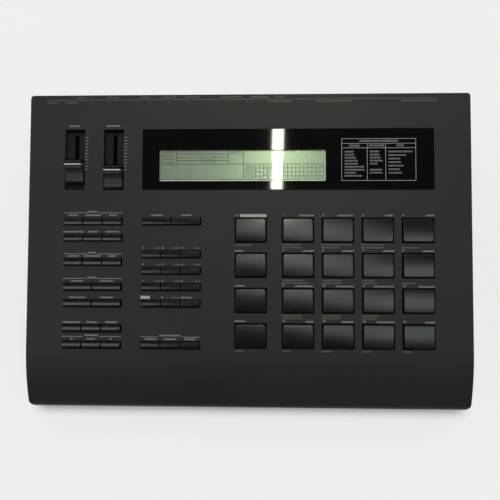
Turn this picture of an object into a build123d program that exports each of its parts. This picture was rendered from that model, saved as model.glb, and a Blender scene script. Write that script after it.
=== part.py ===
from build123d import *
from math import cos, radians, sin, sqrt
import os

# A desk-top drum machine: a wedge-shaped moulded case with a sloping panel that carries
# two sliders, a display, small keys and square drum pads, and a rear face full of sockets.
# The origin is under the middle of its bounding box, on the surface that it stands on.
# +X is to the player's right, +Y to the rear and +Z up. All sizes are in millimetres.
#
# Pieces on the sloping panel are drawn in the panel's own frame: x to the right of its
# middle, y to the rear of its rear edge (so every place on it has a negative y) and z out
# of the panel, with z = 0 on its outer skin.

# ---- the case as a whole
case_width = 406.0
case_depth = 286.0
rear_height = 65.0
foot_height = 5.0
panel_slope = 6.0
wall = 2.5

# The panel is flat from the rear edge to just in front of the last keys and pads. From
# there it rolls over, and it has fallen by roll_drop where it meets the front face.
roll_room = 0.75
roll_drop = 11.1
lip_radius = 7.0
front_corner_radius = 6.0
rear_corner_radius = 4.5
top_edge_radius = 1.2

# ---- how closely pieces fit
lie_gap = 0.1
slide_gap = 0.3
hole_gap = 0.1
turn_gap = 0.05
flange_gap = 0.2
stop_gap = 0.2
rim_bevel = 0.4
post_room = 1.0

# How far a cutting shape runs past what it cuts, and how near an edge lies to a place
# where it is picked.
past = 1.0
near = 1.0

# ---- the display
window_left = -97.1
window_width = 266.3
window_depth = 56.0
window_rear = -32.9
window_thickness = 2.0
window_corner_radius = 0.5
bed_thickness = 2.5
bed_margin = 3.0
lcd_left_room = 15.2
lcd_front_room = 8.3
lcd_view_width = 153.4
lcd_view_depth = 29.2
lcd_margin = 2.0
lcd_thickness = 2.2
lcd_frame_rim = 6.5
lcd_frame_height = 6.4
board_thickness = 1.6

# ---- the two sliders
well_width = 18.4
well_depth = 6.0
well_skin = 1.5
slider_left_x = -160.2
slider_right_x = -124.1
slider_travel = 30.0
cap_end_room = 1.1
cap_floor_room = 1.0
slider_left_rest = 5.3
slot_width = 4.0
slot_end_room = 2.5
cap_width = 17.0
cap_top_width = 15.3
cap_rear = 4.9
cap_front = 16.4
cap_ridge_height = 8.4
cap_ridge_width = 1.8
cap_shoulder_height = 6.4
cap_scoop_height = 1.6
cap_toe_height = 2.4
lever_width = 1.2
lever_length = 4.0
lever_depth_in_cap = 5.0
carriage_width = 5.4
carriage_length = 8.0
carriage_height = 3.5
pot_width = 9.0
pot_height = 7.5
pot_wall = 1.2
pot_end_room = 4.0

# ---- the small keys
key_pitch = 18.0
key_gap = 1.2
key_depth = 6.2
key_edge_height = 0.9
key_crown_radius = 12.0
key_room = 0.9
key_room_depth = 0.55
key_flange_margin = 1.0
key_flange_thickness = 1.2
key_plunger_radius = 1.5
key_plunger_length = 1.8
key_edge_round = 0.25
key_travel = 0.6
keys_left_x = -142.3
keys_middle_x = -69.8
key_row_lead = 8.1
# How far in front of the first row each row of keys lies, and how many keys share it.
left_row_places = [0.0, 15.0, 37.4, 60.3, 75.3, 98.1, 113.1]
left_key_counts = [3, 3, 3, 2, 2, 3, 3]
middle_row_places = [0.0, 30.3, 45.3, 60.3, 75.3, 113.1]
middle_key_counts = [2, 3, 3, 3, 3, 3]
keys_in_full_row = 3
switch_size = 6.0
switch_body_height = 3.4
switch_stem_radius = 1.7

# ---- the pads
pad_opening_width = 29.2
pad_opening_depth = 23.0
pad_room = 1.15
pad_edge_height = 1.7
pad_crown_radius = 105.0
pad_corner_radius = 1.6
pad_edge_round = 0.5
pad_flange_margin = 0.9
pad_flange_thickness = 1.5
pad_skirt_inset = 1.5
pad_travel = 1.2
pad_stop_gap = 0.3
pad_rows = 4
pad_columns = 4
pad_pitch_x = 36.1
pad_pitch_y = 32.0
pads_first_x = 46.0
pads_first_y = -126.1
control_pads_x = 3.0

# ---- the board behind the panel
panel_board_depth = 11.0
panel_board_margin = 4.0
sheet_thickness = 1.0
sheet_margin = 2.0
boss_radius = 3.0
boss_side_room = 5.8
boss_rear_room = 6.5
boss_front_room = 4.5

# ---- the screws, all alike
screw_radius = 1.45
screw_length = 6.0
screw_head_radius = 2.8
screw_head_height = 1.8
screw_slot_width = 0.8
screw_slot_depth = 0.9
pilot_radius = 1.5
pilot_room = 1.0

# ---- the bottom plate and what stands on it
plate_thickness = 1.2
post_radius = 4.0
side_post_inset = 7.3
end_post_inset = 14.0
middle_post_y = -30.0
foot_radius = 8.0
foot_edge_round = 0.8
foot_inset_x = 28.0
foot_inset_y = 22.0
spacer_height = 3.2
spacer_radius = 3.5
main_board_side_room = 17.0
main_board_depth = 96.0
main_board_rear_gap = 9.0
spacer_inset = 6.0
spacer_rear_inset = 28.0

# ---- the rear face
rear_panel_thickness = 1.5
rear_panel_side = 5.0
rear_panel_low = 3.5
rear_panel_top = 6.5
rear_rim_side = 7.5
rear_rim_top = 2.0
lower_row_height = 20.0
upper_row_height = 44.0

# Quarter-inch jack sockets: eleven in the lower row, two in the upper row. The lower row
# is spread evenly from the case's left side to its middle.
jack_count = 11
jack_side_room = 21.0
jack_last_x = -1.0
upper_jacks_x = [11.0, 29.1]
jack_bore_radius = 3.25
jack_bore_depth = 31.0
jack_body_width = 15.0
jack_body_height = 18.0
jack_end_wall = 1.5
jack_bush_radius = 4.7
jack_bush_proud = 4.0
nut_across_flats = 14.0
nut_thickness = 2.4

# Small jack sockets for the sync signals.
sync_jacks_x = [-21.0, -10.0]
sync_bore_radius = 1.8
sync_bore_depth = 14.0
sync_body_size = 9.0
sync_end_wall = 1.0
sync_bush_radius = 3.0
sync_bush_proud = 0.8

# Five-pin round sockets.
din_sockets_x = [-94.9, -73.2, -51.5]
din_body_size = 18.0
din_body_depth = 14.0
din_mouth_radius = 8.2
din_bore_radius = 7.4
din_bore_depth = 8.5
din_pin_circle = 4.45
din_pin_radius = 0.8
din_pin_depth = 3.0
din_pin_step = 45.0
din_pin_count = 5

# The inlet for the mains adaptor's barrel plug.
inlet_x = -155.8
inlet_body_width = 10.0
inlet_body_height = 12.0
inlet_body_depth = 14.0
inlet_bore_radius = 3.1
inlet_bore_depth = 10.0
inlet_pin_radius = 1.05
inlet_pin_recess = 1.0
inlet_mouth_radius = 4.2

# The push button that switches the machine on.
power_x = -125.7
power_button_size = 9.0
power_button_proud = 5.0
power_button_round = 0.6
power_travel = 3.0
power_collar_margin = 1.5
power_collar_thickness = 1.5
power_stem_size = 4.0
power_body_size = 13.0
power_body_depth = 16.0
power_body_wall = 2.0
power_stem_depth = 5.0

# The knob that sets the display's contrast.
contrast_x = 28.8
knob_radius = 5.5
knob_proud = 6.0
knob_rib_count = 18
knob_rib_radius = 0.45
knob_edge_bevel = 0.5
knob_pointer_width = 1.0
knob_pointer_depth = 0.6
shaft_radius = 3.0
shaft_depth = 9.0
shaft_end_room = 1.0
pot_bush_radius = 4.0
pot_bush_proud = 1.5
contrast_body_size = 11.0
contrast_body_depth = 7.0
contrast_leg_width = 4.0
contrast_leg_thickness = 2.0
contrast_base_height = 1.2

# The two slots for memory cards, spread evenly beside the contrast knob.
card_slot_width = 58.0
card_slot_height = 5.2
card_slot_depth = 62.0
card_body_margin = 2.0
card_body_above = 2.2
card_body_end = 6.0

# ---- places that follow from the sizes above
rear_y = case_depth / 2 - knob_proud / 2
front_y = rear_y - case_depth
case_bottom = foot_height
plate_top = case_bottom + plate_thickness
board_underside = plate_top + spacer_height
board_top = board_underside + board_thickness
panel_board_top = -panel_board_depth
panel_underside = -wall
flange_top = panel_underside - flange_gap
rear_inside_y = rear_y - rear_panel_thickness
slope = radians(panel_slope)
panel = Location((0, rear_y, rear_height), (panel_slope, 0, 0))

well_length = window_depth
well_y = window_rear - well_length / 2
window_x = window_left + window_width / 2
window_y = window_rear - window_depth / 2
bed_top = -lie_gap - window_thickness
bed_underside = bed_top - bed_thickness
lcd_centre_x = window_left + lcd_left_room + lcd_view_width / 2
lcd_centre_y = window_rear - window_depth + lcd_front_room + lcd_view_depth / 2
lcd_hole_width = lcd_view_width + 2 * lcd_margin + 2 * slide_gap
lcd_hole_depth = lcd_view_depth + 2 * lcd_margin + 2 * slide_gap
slider_low_y = window_rear - well_length + cap_front + cap_end_room
slot_length = slider_travel + lever_length + 2 * slot_end_room
slot_y = slider_low_y + slider_travel / 2
cap_low = cap_floor_room - well_depth

row_width = keys_in_full_row * key_pitch - key_gap
row_opening_width = row_width + 2 * key_room
row_opening_depth = key_depth + 2 * key_room_depth
keys_first_row = pads_first_y + key_row_lead
left_rows = [
    (keys_first_row - ahead, count) for ahead, count in zip(left_row_places, left_key_counts)
]
middle_rows = [
    (keys_first_row - ahead, count) for ahead, count in zip(middle_row_places, middle_key_counts)
]
key_blocks = [(keys_left_x, left_rows), (keys_middle_x, middle_rows)]
pad_places = [
    (pads_first_x + column * pad_pitch_x, pads_first_y - row * pad_pitch_y)
    for row in range(pad_rows)
    for column in range(pad_columns)
]
control_places = [(control_pads_x, pads_first_y - row * pad_pitch_y) for row in range(pad_rows)]
last_pad_x, last_pad_y = pad_places[-1]
last_key_y = min(y for rows in (left_rows, middle_rows) for y, _ in rows)

roll_start_y = -roll_room + min(
    last_key_y - row_opening_depth / 2, last_pad_y - pad_opening_depth / 2
)
roll_end_y = -(case_depth + roll_drop * sin(slope)) / cos(slope)
roll_reach = roll_start_y - roll_end_y
roll_radius = (roll_reach**2 + roll_drop**2) / (2 * roll_drop)

boss_columns = [
    keys_left_x - row_opening_width / 2 - key_flange_margin - boss_side_room,
    (keys_left_x + keys_middle_x) / 2,
    (control_pads_x + pads_first_x) / 2,
    last_pad_x + pad_opening_width / 2 + pad_flange_margin + boss_side_room,
]
boss_rows = [keys_first_row + boss_rear_room, roll_start_y - boss_front_room]
boss_places = [(x, y) for x in boss_columns for y in boss_rows]
side_post_x = case_width / 2 - side_post_inset
post_places = [
    (side * side_post_x, y)
    for side in (-1, 1)
    for y in (rear_y - end_post_inset, (front_y + rear_y) / 2, front_y + end_post_inset)
] + [(x, middle_post_y) for x in boss_columns[1:3]]

rear_panel_width = case_width - 2 * rear_panel_side
rear_panel_height = rear_height - case_bottom - rear_panel_low - rear_panel_top
rear_panel_z = case_bottom + rear_panel_low + rear_panel_height / 2
rear_screw_x = rear_panel_width / 2 - rear_rim_side / 2
rear_screw_places = [
    (side * rear_screw_x, height)
    for side in (-1, 1)
    for height in (lower_row_height, upper_row_height)
]
main_board_width = case_width - 2 * main_board_side_room
jack_first_x = jack_side_room - case_width / 2
jack_pitch = (jack_last_x - jack_first_x) / (jack_count - 1)
card_body_width = card_slot_width + 2 * card_body_margin
card_row_left = contrast_x + contrast_body_size / 2
card_gap = (case_width / 2 - wall - card_row_left - 2 * card_body_width) / 3
card_slots_x = [
    card_row_left + card_gap + card_body_width / 2,
    card_row_left + 2 * card_gap + 3 * card_body_width / 2,
]


def panel_point(y, z):
    """Where a point of the panel's own frame lies in the case's side view."""
    return (
        rear_y + y * cos(slope) - z * sin(slope),
        rear_height + y * sin(slope) + z * cos(slope),
    )


def block(width, depth, low, high, x=0.0, y=0.0):
    """A box that stands between two heights over a point."""
    return Pos(x, y, (low + high) / 2) * Box(width, depth, high - low)


def rod(radius, low, high, x=0.0, y=0.0):
    """An upright cylinder between two heights over a point."""
    return Pos(x, y, (low + high) / 2) * Cylinder(radius, high - low)


def rear_block(width, height, inner, outer, x, z):
    """A box that reaches from one depth to another at the rear face."""
    return Pos(x, (inner + outer) / 2, z) * Box(width, outer - inner, height)


def rear_rod(radius, inner, outer, x, z):
    """A cylinder along Y, from one depth to another at the rear face."""
    return Pos(x, (inner + outer) / 2, z) * Rot(90, 0, 0) * Cylinder(radius, outer - inner)


def rounded_block(width, depth, low, high, radius, x=0.0, y=0.0):
    """A box with rounded upright corners."""
    return Pos(x, y, low) * extrude(RectangleRounded(width, depth, radius), high - low)


def opening(width, depth, low, x, y):
    """A rectangular hole through the panel's skin, with a bevelled rim."""
    hole = block(width, depth, low, rim_bevel, x, y)
    rim = extrude(Rectangle(width + 2 * rim_bevel, depth + 2 * rim_bevel), -rim_bevel, taper=45)
    return hole + Pos(x, y, 0) * rim


# ---- the case


def side_face(inset, low):
    """The case's side view, drawn a distance inside its outer skin, down to a height."""
    radius = roll_radius - inset
    rear_skin = rear_y - inset
    front_skin = front_y + inset
    start_y, start_z = panel_point(roll_start_y, -inset)
    centre_y, centre_z = panel_point(roll_start_y, -roll_radius)
    end_z = centre_z + sqrt(radius**2 - (centre_y - front_skin) ** 2)
    rear_z = start_z + (rear_skin - start_y) * sin(slope) / cos(slope)
    tangent = (-cos(slope), -sin(slope))
    outline = [
        Line((front_skin, low), (rear_skin, low)),
        Line((rear_skin, low), (rear_skin, rear_z)),
        Line((rear_skin, rear_z), (start_y, start_z)),
        TangentArc((start_y, start_z), (front_skin, end_z), tangent=tangent),
        Line((front_skin, end_z), (front_skin, low)),
    ]
    face = make_face(outline)
    lip = face.vertices().sort_by(lambda v: abs(v.X - front_skin) + abs(v.Y - end_z))[0]
    return fillet(lip, lip_radius - inset)


def wedge(inset, low):
    """The whole wedge as one block, a distance inside the outer skin."""
    side = extrude(Plane.YZ * side_face(inset, low), case_width / 2 - inset, both=True)
    if inset == 0:
        side = soften_top(side)
    plan = Rectangle(case_width - 2 * inset, case_depth - 2 * inset)
    plan = fillet(plan.vertices().group_by(Axis.Y)[0], front_corner_radius - inset)
    plan = fillet(plan.vertices().group_by(Axis.Y)[-1], rear_corner_radius - inset)
    middle_y = (front_y + rear_y) / 2
    return side & Pos(0, middle_y, low) * extrude(plan, rear_height)


def soften_top(body):
    """Rounds the edge where the panel meets the sides and the rear face."""
    rim = [
        edge
        for edge in body.edges()
        if edge.center().Z > case_bottom + near
        and (abs(edge.center().X) > near or edge.center().Y > rear_y - near)
        and not (abs(edge.tangent_at(0.5).Z) > 0.99 and edge.center().Y > 0)
    ]
    return fillet(rim, top_edge_radius)


def panel_underwork():
    """What is moulded under the panel: the window's bed, the slider wells and the bosses."""
    pieces = [
        block(
            window_width + 2 * bed_margin,
            window_depth + 2 * bed_margin,
            bed_underside,
            panel_underside + lie_gap,
            window_x,
            window_y,
        )
    ]
    for x in (slider_left_x, slider_right_x):
        pieces.append(
            block(
                well_width + 2 * well_skin,
                well_length + 2 * well_skin,
                -well_depth - well_skin,
                panel_underside + lie_gap,
                x,
                well_y,
            )
        )
    for x, y in boss_places:
        pieces.append(rod(boss_radius, panel_board_top, panel_underside + lie_gap, x, y))
    return pieces


def panel_holes():
    """Everything that is cut through the panel."""
    holes = [
        block(
            window_width + 2 * slide_gap,
            window_depth + 2 * slide_gap,
            bed_top,
            past,
            window_x,
            window_y,
        ),
        block(
            lcd_hole_width,
            lcd_hole_depth,
            bed_underside - past,
            past,
            lcd_centre_x,
            lcd_centre_y,
        ),
    ]
    for x in (slider_left_x, slider_right_x):
        holes.append(opening(well_width, well_length, -well_depth, x, well_y))
        slot_low = -well_depth - well_skin - past
        holes.append(block(slot_width, slot_length, slot_low, 0, x, slot_y))
    for x, rows in key_blocks:
        for y, _ in rows:
            holes.append(opening(row_opening_width, row_opening_depth, -2 * wall, x, y))
    for x, y in pad_places + control_places:
        holes.append(opening(pad_opening_width, pad_opening_depth, -2 * wall, x, y))
    for x, y in boss_places:
        holes.append(rod(pilot_radius, panel_board_top - past, panel_underside - pilot_room, x, y))
    return holes


def upper_case():
    """The moulded case: a hollow wedge, open below, with its posts and bosses."""
    outer = wedge(0, case_bottom)
    shell = outer - wedge(wall, case_bottom - past)
    posts = [rod(post_radius, plate_top, rear_height, x, y) for x, y in post_places]
    rear_bosses = [
        rear_rod(post_radius, rear_y - wall - screw_length, rear_y - wall + lie_gap, x, z)
        for x, z in rear_screw_places
    ]
    inside = [panel * piece for piece in panel_underwork()] + posts + rear_bosses
    body = shell + [piece & outer for piece in inside]
    pilots = [
        rod(pilot_radius, plate_top - past, plate_top + screw_length + pilot_room, x, y)
        for x, y in post_places
    ]
    pilots += [
        rear_rod(pilot_radius, rear_y - wall - screw_length + pilot_room, rear_y, x, z)
        for x, z in rear_screw_places
    ]
    seat = rear_block(
        rear_panel_width + 2 * slide_gap,
        rear_panel_height + 2 * slide_gap,
        rear_inside_y,
        rear_y + past,
        0,
        rear_panel_z,
    )
    window = rear_block(
        rear_panel_width - 2 * rear_rim_side,
        rear_panel_height - 2 * rear_rim_top,
        rear_y - wall - past,
        rear_y + past,
        0,
        rear_panel_z,
    )
    return body - [panel * hole for hole in panel_holes()] - pilots - seat - window


# ---- fasteners, bottom plate and feet


def screw():
    """One pan-head screw: its head's seat is at z = 0 and its shank points up."""
    head = rod(screw_head_radius, -screw_head_height, 0)
    head = fillet(head.edges().sort_by(Axis.Z)[0], screw_head_height / 2)
    slot = [
        block(length, width, -screw_head_height, -screw_head_height + screw_slot_depth)
        for length, width in (
            (screw_head_radius, screw_slot_width),
            (screw_slot_width, screw_head_radius),
        )
    ]
    return head + rod(screw_radius, 0, screw_length) - slot


def screws():
    """All the screws: under the case, behind the panel board and in the rear face."""
    one = screw()
    placed = [Pos(x, y, case_bottom) * one for x, y in post_places]
    board_low = panel_board_top - board_thickness
    placed += [panel * Pos(x, y, board_low) * one for x, y in boss_places]
    placed += [Pos(x, rear_y, z) * Rot(90, 0, 0) * one for x, z in rear_screw_places]
    placed += [Pos(x, y, board_top) * Rot(180, 0, 0) * one for x, y in spacer_places()]
    return placed


def bottom_plate():
    """The flat steel plate that closes the case, with pressed-up spacers for the board."""
    inset = wall + slide_gap
    plan = Rectangle(case_width - 2 * inset, case_depth - 2 * inset)
    plan = fillet(plan.vertices().group_by(Axis.Y)[0], front_corner_radius - wall)
    plan = fillet(plan.vertices().group_by(Axis.Y)[-1], rear_corner_radius - wall)
    plate = Pos(0, (front_y + rear_y) / 2, case_bottom) * extrude(plan, plate_thickness)
    plate += [rod(spacer_radius, case_bottom, board_underside, x, y) for x, y in spacer_places()]
    holes = [
        rod(pilot_radius, case_bottom - past, plate_top + past, x, y) for x, y in post_places
    ]
    holes += [
        rod(pilot_radius, case_bottom - past, board_underside + past, x, y)
        for x, y in spacer_places()
    ]
    return plate - holes


def feet():
    """Four round rubber feet under the plate."""
    foot = fillet(rod(foot_radius, 0, foot_height).edges().sort_by(Axis.Z)[0], foot_edge_round)
    return [
        Pos(side * (case_width / 2 - foot_inset_x), y, 0) * foot
        for side in (-1, 1)
        for y in (front_y + foot_inset_y, rear_y - foot_inset_y)
    ]


# ---- the boards


def main_board_y():
    """The middle of the main board, from front to rear."""
    return rear_inside_y - main_board_rear_gap - main_board_depth / 2


def spacer_places():
    """Where the main board is held: its front corners, and clear of the sockets behind."""
    side = main_board_width / 2 - spacer_inset
    rear = main_board_y() + main_board_depth / 2 - spacer_rear_inset
    front = main_board_y() - main_board_depth / 2 + spacer_inset
    between_cards = sum(card_slots_x) / len(card_slots_x)
    return [(-side, front), (side, front), (-side, rear), (between_cards, rear)]


def main_board():
    """The main circuit board, on the plate's spacers."""
    board = block(
        main_board_width, main_board_depth, board_underside, board_top, 0, main_board_y()
    )
    holes = [
        rod(pilot_radius, board_underside - past, board_top + past, x, y)
        for x, y in spacer_places()
    ]
    return board - holes


def panel_board():
    """The circuit board behind the keys and pads, with holes for screws and posts."""
    low = panel_board_top - board_thickness
    board = block(
        boss_columns[-1] - boss_columns[0] + 2 * panel_board_margin,
        boss_rows[0] - boss_rows[1] + 2 * panel_board_margin,
        low,
        panel_board_top,
        (boss_columns[0] + boss_columns[-1]) / 2,
        (boss_rows[0] + boss_rows[1]) / 2,
    )
    holes = [rod(pilot_radius, low - past, panel_board_top + past, x, y) for x, y in boss_places]
    return panel * (board - holes) - post_holes()


def post_holes():
    """Room for the case's posts where they pass through what lies behind the panel."""
    return [rod(post_radius + post_room, plate_top, rear_height, x, y) for x, y in post_places]


def pad_sheet():
    """The rubber sheet with the pads' sensors, on the panel board."""
    left = control_pads_x - pad_opening_width / 2 - sheet_margin
    right = last_pad_x + pad_opening_width / 2 + sheet_margin
    rear = pads_first_y + pad_opening_depth / 2 + sheet_margin
    front = last_pad_y - pad_opening_depth / 2 - sheet_margin
    top = panel_board_top + sheet_thickness
    sheet = block(
        right - left,
        rear - front,
        panel_board_top,
        top,
        (left + right) / 2,
        (rear + front) / 2,
    )
    around_bosses = [
        rod(boss_radius + post_room, panel_board_top - past, top + past, x, y)
        for x, y in boss_places
    ]
    return panel * (sheet - around_bosses) - post_holes()


def key_switches():
    """A small switch under every key."""
    top = key_plunger_low() - key_travel - stop_gap
    body_top = panel_board_top + switch_body_height
    body = block(switch_size, switch_size, panel_board_top, body_top)
    one = body + rod(switch_stem_radius, body_top, top)
    return [
        panel * Pos(x, y, 0) * one
        for block_x, rows in key_blocks
        for y, count in rows
        for x in key_centres(block_x, count)
    ]


# ---- the display


def display_window():
    """The clear plate over the display, flush with the panel."""
    return panel * rounded_block(
        window_width, window_depth, bed_top, -lie_gap, window_corner_radius, window_x, window_y
    )


def lcd_glass():
    """The liquid-crystal cell itself, in the hole of the window's bed."""
    return panel * block(
        lcd_view_width + 2 * lcd_margin,
        lcd_view_depth + 2 * lcd_margin,
        bed_underside,
        bed_underside + lcd_thickness,
        lcd_centre_x,
        lcd_centre_y,
    )


def lcd_module():
    """The display's metal frame and its board, against the underside of the bed."""
    width = lcd_hole_width + 2 * lcd_frame_rim
    depth = lcd_hole_depth + 2 * lcd_frame_rim
    low = bed_underside - lcd_frame_height
    frame = block(width, depth, low, bed_underside, lcd_centre_x, lcd_centre_y)
    board = block(
        width + lcd_frame_rim,
        depth + lcd_frame_rim,
        low - board_thickness,
        low,
        lcd_centre_x,
        lcd_centre_y,
    )
    return panel * (frame + board)


# ---- the sliders


def slider_cap():
    """A slider's cap, over the lever: a ridge near its rear and a scoop in front of it."""
    half_ridge = cap_ridge_width / 2
    outline = [
        Polyline(
            (-cap_front, cap_low),
            (cap_rear, cap_low),
            (cap_rear, cap_shoulder_height),
            (half_ridge, cap_ridge_height),
            (-half_ridge, cap_ridge_height),
        ),
        ThreePointArc(
            (-half_ridge, cap_ridge_height),
            (-cap_front / 2, cap_scoop_height),
            (-cap_front, cap_toe_height),
        ),
        Line((-cap_front, cap_toe_height), (-cap_front, cap_low)),
    ]
    side = Plane.YZ * make_face(outline)
    body = extrude(side, cap_width / 2, both=True)
    length = 3 * cap_front
    taper_from = Pos(0, 0, cap_low) * Rectangle(cap_width, length)
    taper_to = Pos(0, 0, cap_ridge_height) * Rectangle(cap_top_width, length)
    body &= loft([taper_from, taper_to])
    lever_top = cap_low + lever_depth_in_cap
    return body - block(lever_width, lever_length, cap_low - past, lever_top)


def slider_lever():
    """The metal lever under the cap, with the wiper's carriage at its foot."""
    top = cap_low + lever_depth_in_cap
    foot = pot_top() - pot_wall - turn_gap
    blade = block(lever_width, lever_length, foot, top)
    return blade + block(carriage_width, carriage_length, foot - carriage_height, foot)


def slider(x, raised):
    """A cap and its lever at a slider's place."""
    place = panel * Pos(x, slider_low_y + raised, 0)
    return [place * slider_cap(), place * slider_lever()]


def pot_top():
    """The top of a slide pot, under the well's floor."""
    return -well_depth - well_skin - lie_gap


def slide_pots():
    """The two slide pots, hollow so that the carriage runs in them."""
    cavity_length = slider_travel + carriage_length + 2 * pot_wall
    length = cavity_length + 2 * pot_end_room
    top = pot_top()
    body = block(pot_width, length, top - pot_height, top)
    cavity = block(
        carriage_width + 2 * slide_gap,
        cavity_length,
        top - pot_height + pot_wall,
        top - pot_wall,
    )
    slot = block(lever_width + 2 * slide_gap, slot_length, top - pot_wall - past, top + past)
    one = body - cavity - slot
    return [panel * Pos(x, slot_y, 0) * one for x in (slider_left_x, slider_right_x)]


# ---- keys and pads


def key_plunger_low():
    """How far a key's plunger reaches under the panel."""
    return flange_top - key_flange_thickness - key_plunger_length


def key_centres(block_x, count):
    """The middle of each key in a row."""
    share = keys_in_full_row * key_pitch / count
    return [block_x + (place - (count - 1) / 2) * share for place in range(count)]


def crowned_block(width, depth, edge_height, crown_radius):
    """A block from the flange up, whose top is crowned from front to rear."""
    half = depth / 2
    crown = edge_height + crown_radius - sqrt(crown_radius**2 - half**2)
    outline = [
        Polyline((-half, edge_height), (-half, flange_top), (half, flange_top)),
        Line((half, flange_top), (half, edge_height)),
        ThreePointArc((half, edge_height), (0, crown), (-half, edge_height)),
    ]
    return extrude(Plane.YZ * make_face(outline), width / 2, both=True)


def key_cap(width):
    """One key: a low block with a crowned top and a rounded rim."""
    body = crowned_block(width, key_depth, key_edge_height, key_crown_radius)
    rim = [edge for edge in body.edges() if edge.center().Z > key_edge_height - key_edge_round]
    return fillet(rim, key_edge_round)


def key_strip(block_x, y, count):
    """A row of keys on the thin web that joins them behind the panel."""
    width = keys_in_full_row * key_pitch / count - key_gap
    low = flange_top - key_flange_thickness
    strip = block(
        row_opening_width + 2 * key_flange_margin,
        row_opening_depth + 2 * key_flange_margin,
        low,
        flange_top,
        block_x,
        y,
    )
    cap = key_cap(width)
    for x in key_centres(block_x, count):
        strip += Pos(x, y, 0) * cap
        strip += rod(key_plunger_radius, key_plunger_low(), low, x, y)
    return panel * strip


def pad():
    """One drum pad: crowned from front to rear, with a flange that holds it in the case."""
    width = pad_opening_width - 2 * pad_room
    depth = pad_opening_depth - 2 * pad_room
    flange_low = flange_top - pad_flange_thickness
    top = crowned_block(width, depth, pad_edge_height, pad_crown_radius)
    crown = top.bounding_box().max.Z
    top &= rounded_block(width, depth, flange_top - past, crown + past, pad_corner_radius)
    rim = [edge for edge in top.edges() if edge.center().Z > pad_edge_height - pad_edge_round]
    top = fillet(rim, pad_edge_round)
    flange = block(
        pad_opening_width + 2 * pad_flange_margin,
        pad_opening_depth + 2 * pad_flange_margin,
        flange_low,
        flange_top,
    )
    skirt = block(width - 2 * pad_skirt_inset, depth - 2 * pad_skirt_inset, pad_low(), flange_low)
    return top + flange + skirt


def pad_low():
    """The underside of a pad, which meets the sheet at the end of its travel."""
    return panel_board_top + sheet_thickness + pad_travel + pad_stop_gap


# ---- the rear face


def jack_places():
    """The middle of each quarter-inch jack socket."""
    lower = [(jack_first_x + place * jack_pitch, lower_row_height) for place in range(jack_count)]
    return lower + [(x, upper_row_height) for x in upper_jacks_x]


def jack_sockets():
    """The quarter-inch jack sockets, each with a threaded bush through the rear panel."""
    bush_end = rear_y + jack_bush_proud
    bore_end = bush_end - jack_bore_depth
    sockets = []
    for x, z in jack_places():
        body = rear_block(
            jack_body_width, jack_body_height, bore_end - jack_end_wall, rear_inside_y, x, z
        )
        bush = rear_rod(jack_bush_radius, rear_inside_y - past, bush_end, x, z)
        bore = rear_rod(jack_bore_radius, bore_end, bush_end + past, x, z)
        sockets.append(body + bush - bore)
    return sockets


def jack_nuts():
    """The hexagon nuts that hold the jack sockets."""
    flats = RegularPolygon(nut_across_flats / 2, 6, major_radius=False, rotation=30)
    ring = extrude(flats - Circle(jack_bush_radius + turn_gap), nut_thickness)
    return [Pos(x, rear_y, z) * Rot(-90, 0, 0) * ring for x, z in jack_places()]


def sync_jacks():
    """The two small jack sockets."""
    mouth = rear_y + sync_bush_proud
    inner = mouth - sync_bore_depth - sync_end_wall
    z = upper_row_height
    sockets = []
    for x in sync_jacks_x:
        body = rear_block(sync_body_size, sync_body_size, inner, rear_inside_y, x, z)
        bush = rear_rod(sync_bush_radius, rear_inside_y - past, mouth, x, z)
        bore = rear_rod(sync_bore_radius, mouth - sync_bore_depth, mouth + past, x, z)
        sockets.append(body + bush - bore)
    return sockets


def din_sockets():
    """The three five-pin round sockets."""
    floor = rear_y - din_bore_depth
    z = upper_row_height
    sockets = []
    for x in din_sockets_x:
        body = rear_block(
            din_body_size, din_body_size, rear_inside_y - din_body_depth, rear_inside_y, x, z
        )
        mouth = rear_rod(din_mouth_radius, rear_inside_y - past, rear_y, x, z)
        bore = rear_rod(din_bore_radius, floor, rear_y + past, x, z)
        pins = []
        for place in range(din_pin_count):
            turn = radians(180 + place * din_pin_step)
            pin_x = x + din_pin_circle * cos(turn)
            pin_z = z + din_pin_circle * sin(turn)
            pins.append(rear_rod(din_pin_radius, floor - din_pin_depth, floor + past, pin_x, pin_z))
        sockets.append(body + mouth - bore - pins)
    return sockets


def dc_inlet():
    """The inlet for the adaptor's plug, with its middle pin."""
    inner = rear_inside_y - inlet_body_depth
    floor = rear_y - inlet_bore_depth
    x, z = inlet_x, upper_row_height
    body = rear_block(inlet_body_width, inlet_body_height, inner, rear_inside_y, x, z)
    mouth = rear_rod(inlet_mouth_radius, rear_inside_y - past, rear_y, x, z)
    bore = rear_rod(inlet_bore_radius, floor, rear_y + past, x, z)
    pin = rear_rod(inlet_pin_radius, floor - past, rear_y - inlet_pin_recess, x, z)
    return body + mouth - bore + pin


def power_button():
    """The power button: its cap, the collar that keeps it in and the stem behind it."""
    x, z = power_x, upper_row_height
    cap_foot = rear_inside_y - flange_gap
    cap_tip = rear_y + power_button_proud
    cap = rear_block(power_button_size, power_button_size, cap_foot, cap_tip, x, z)
    cap = fillet(cap.faces().sort_by(Axis.Y)[-1].edges(), power_button_round)
    collar_size = power_button_size + 2 * power_collar_margin
    collar_back = cap_foot - power_collar_thickness
    collar = rear_block(collar_size, collar_size, collar_back, cap_foot, x, z)
    stem = rear_block(
        power_stem_size, power_stem_size, collar_back - power_stem_depth, collar_back, x, z
    )
    return cap + collar + stem


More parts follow.
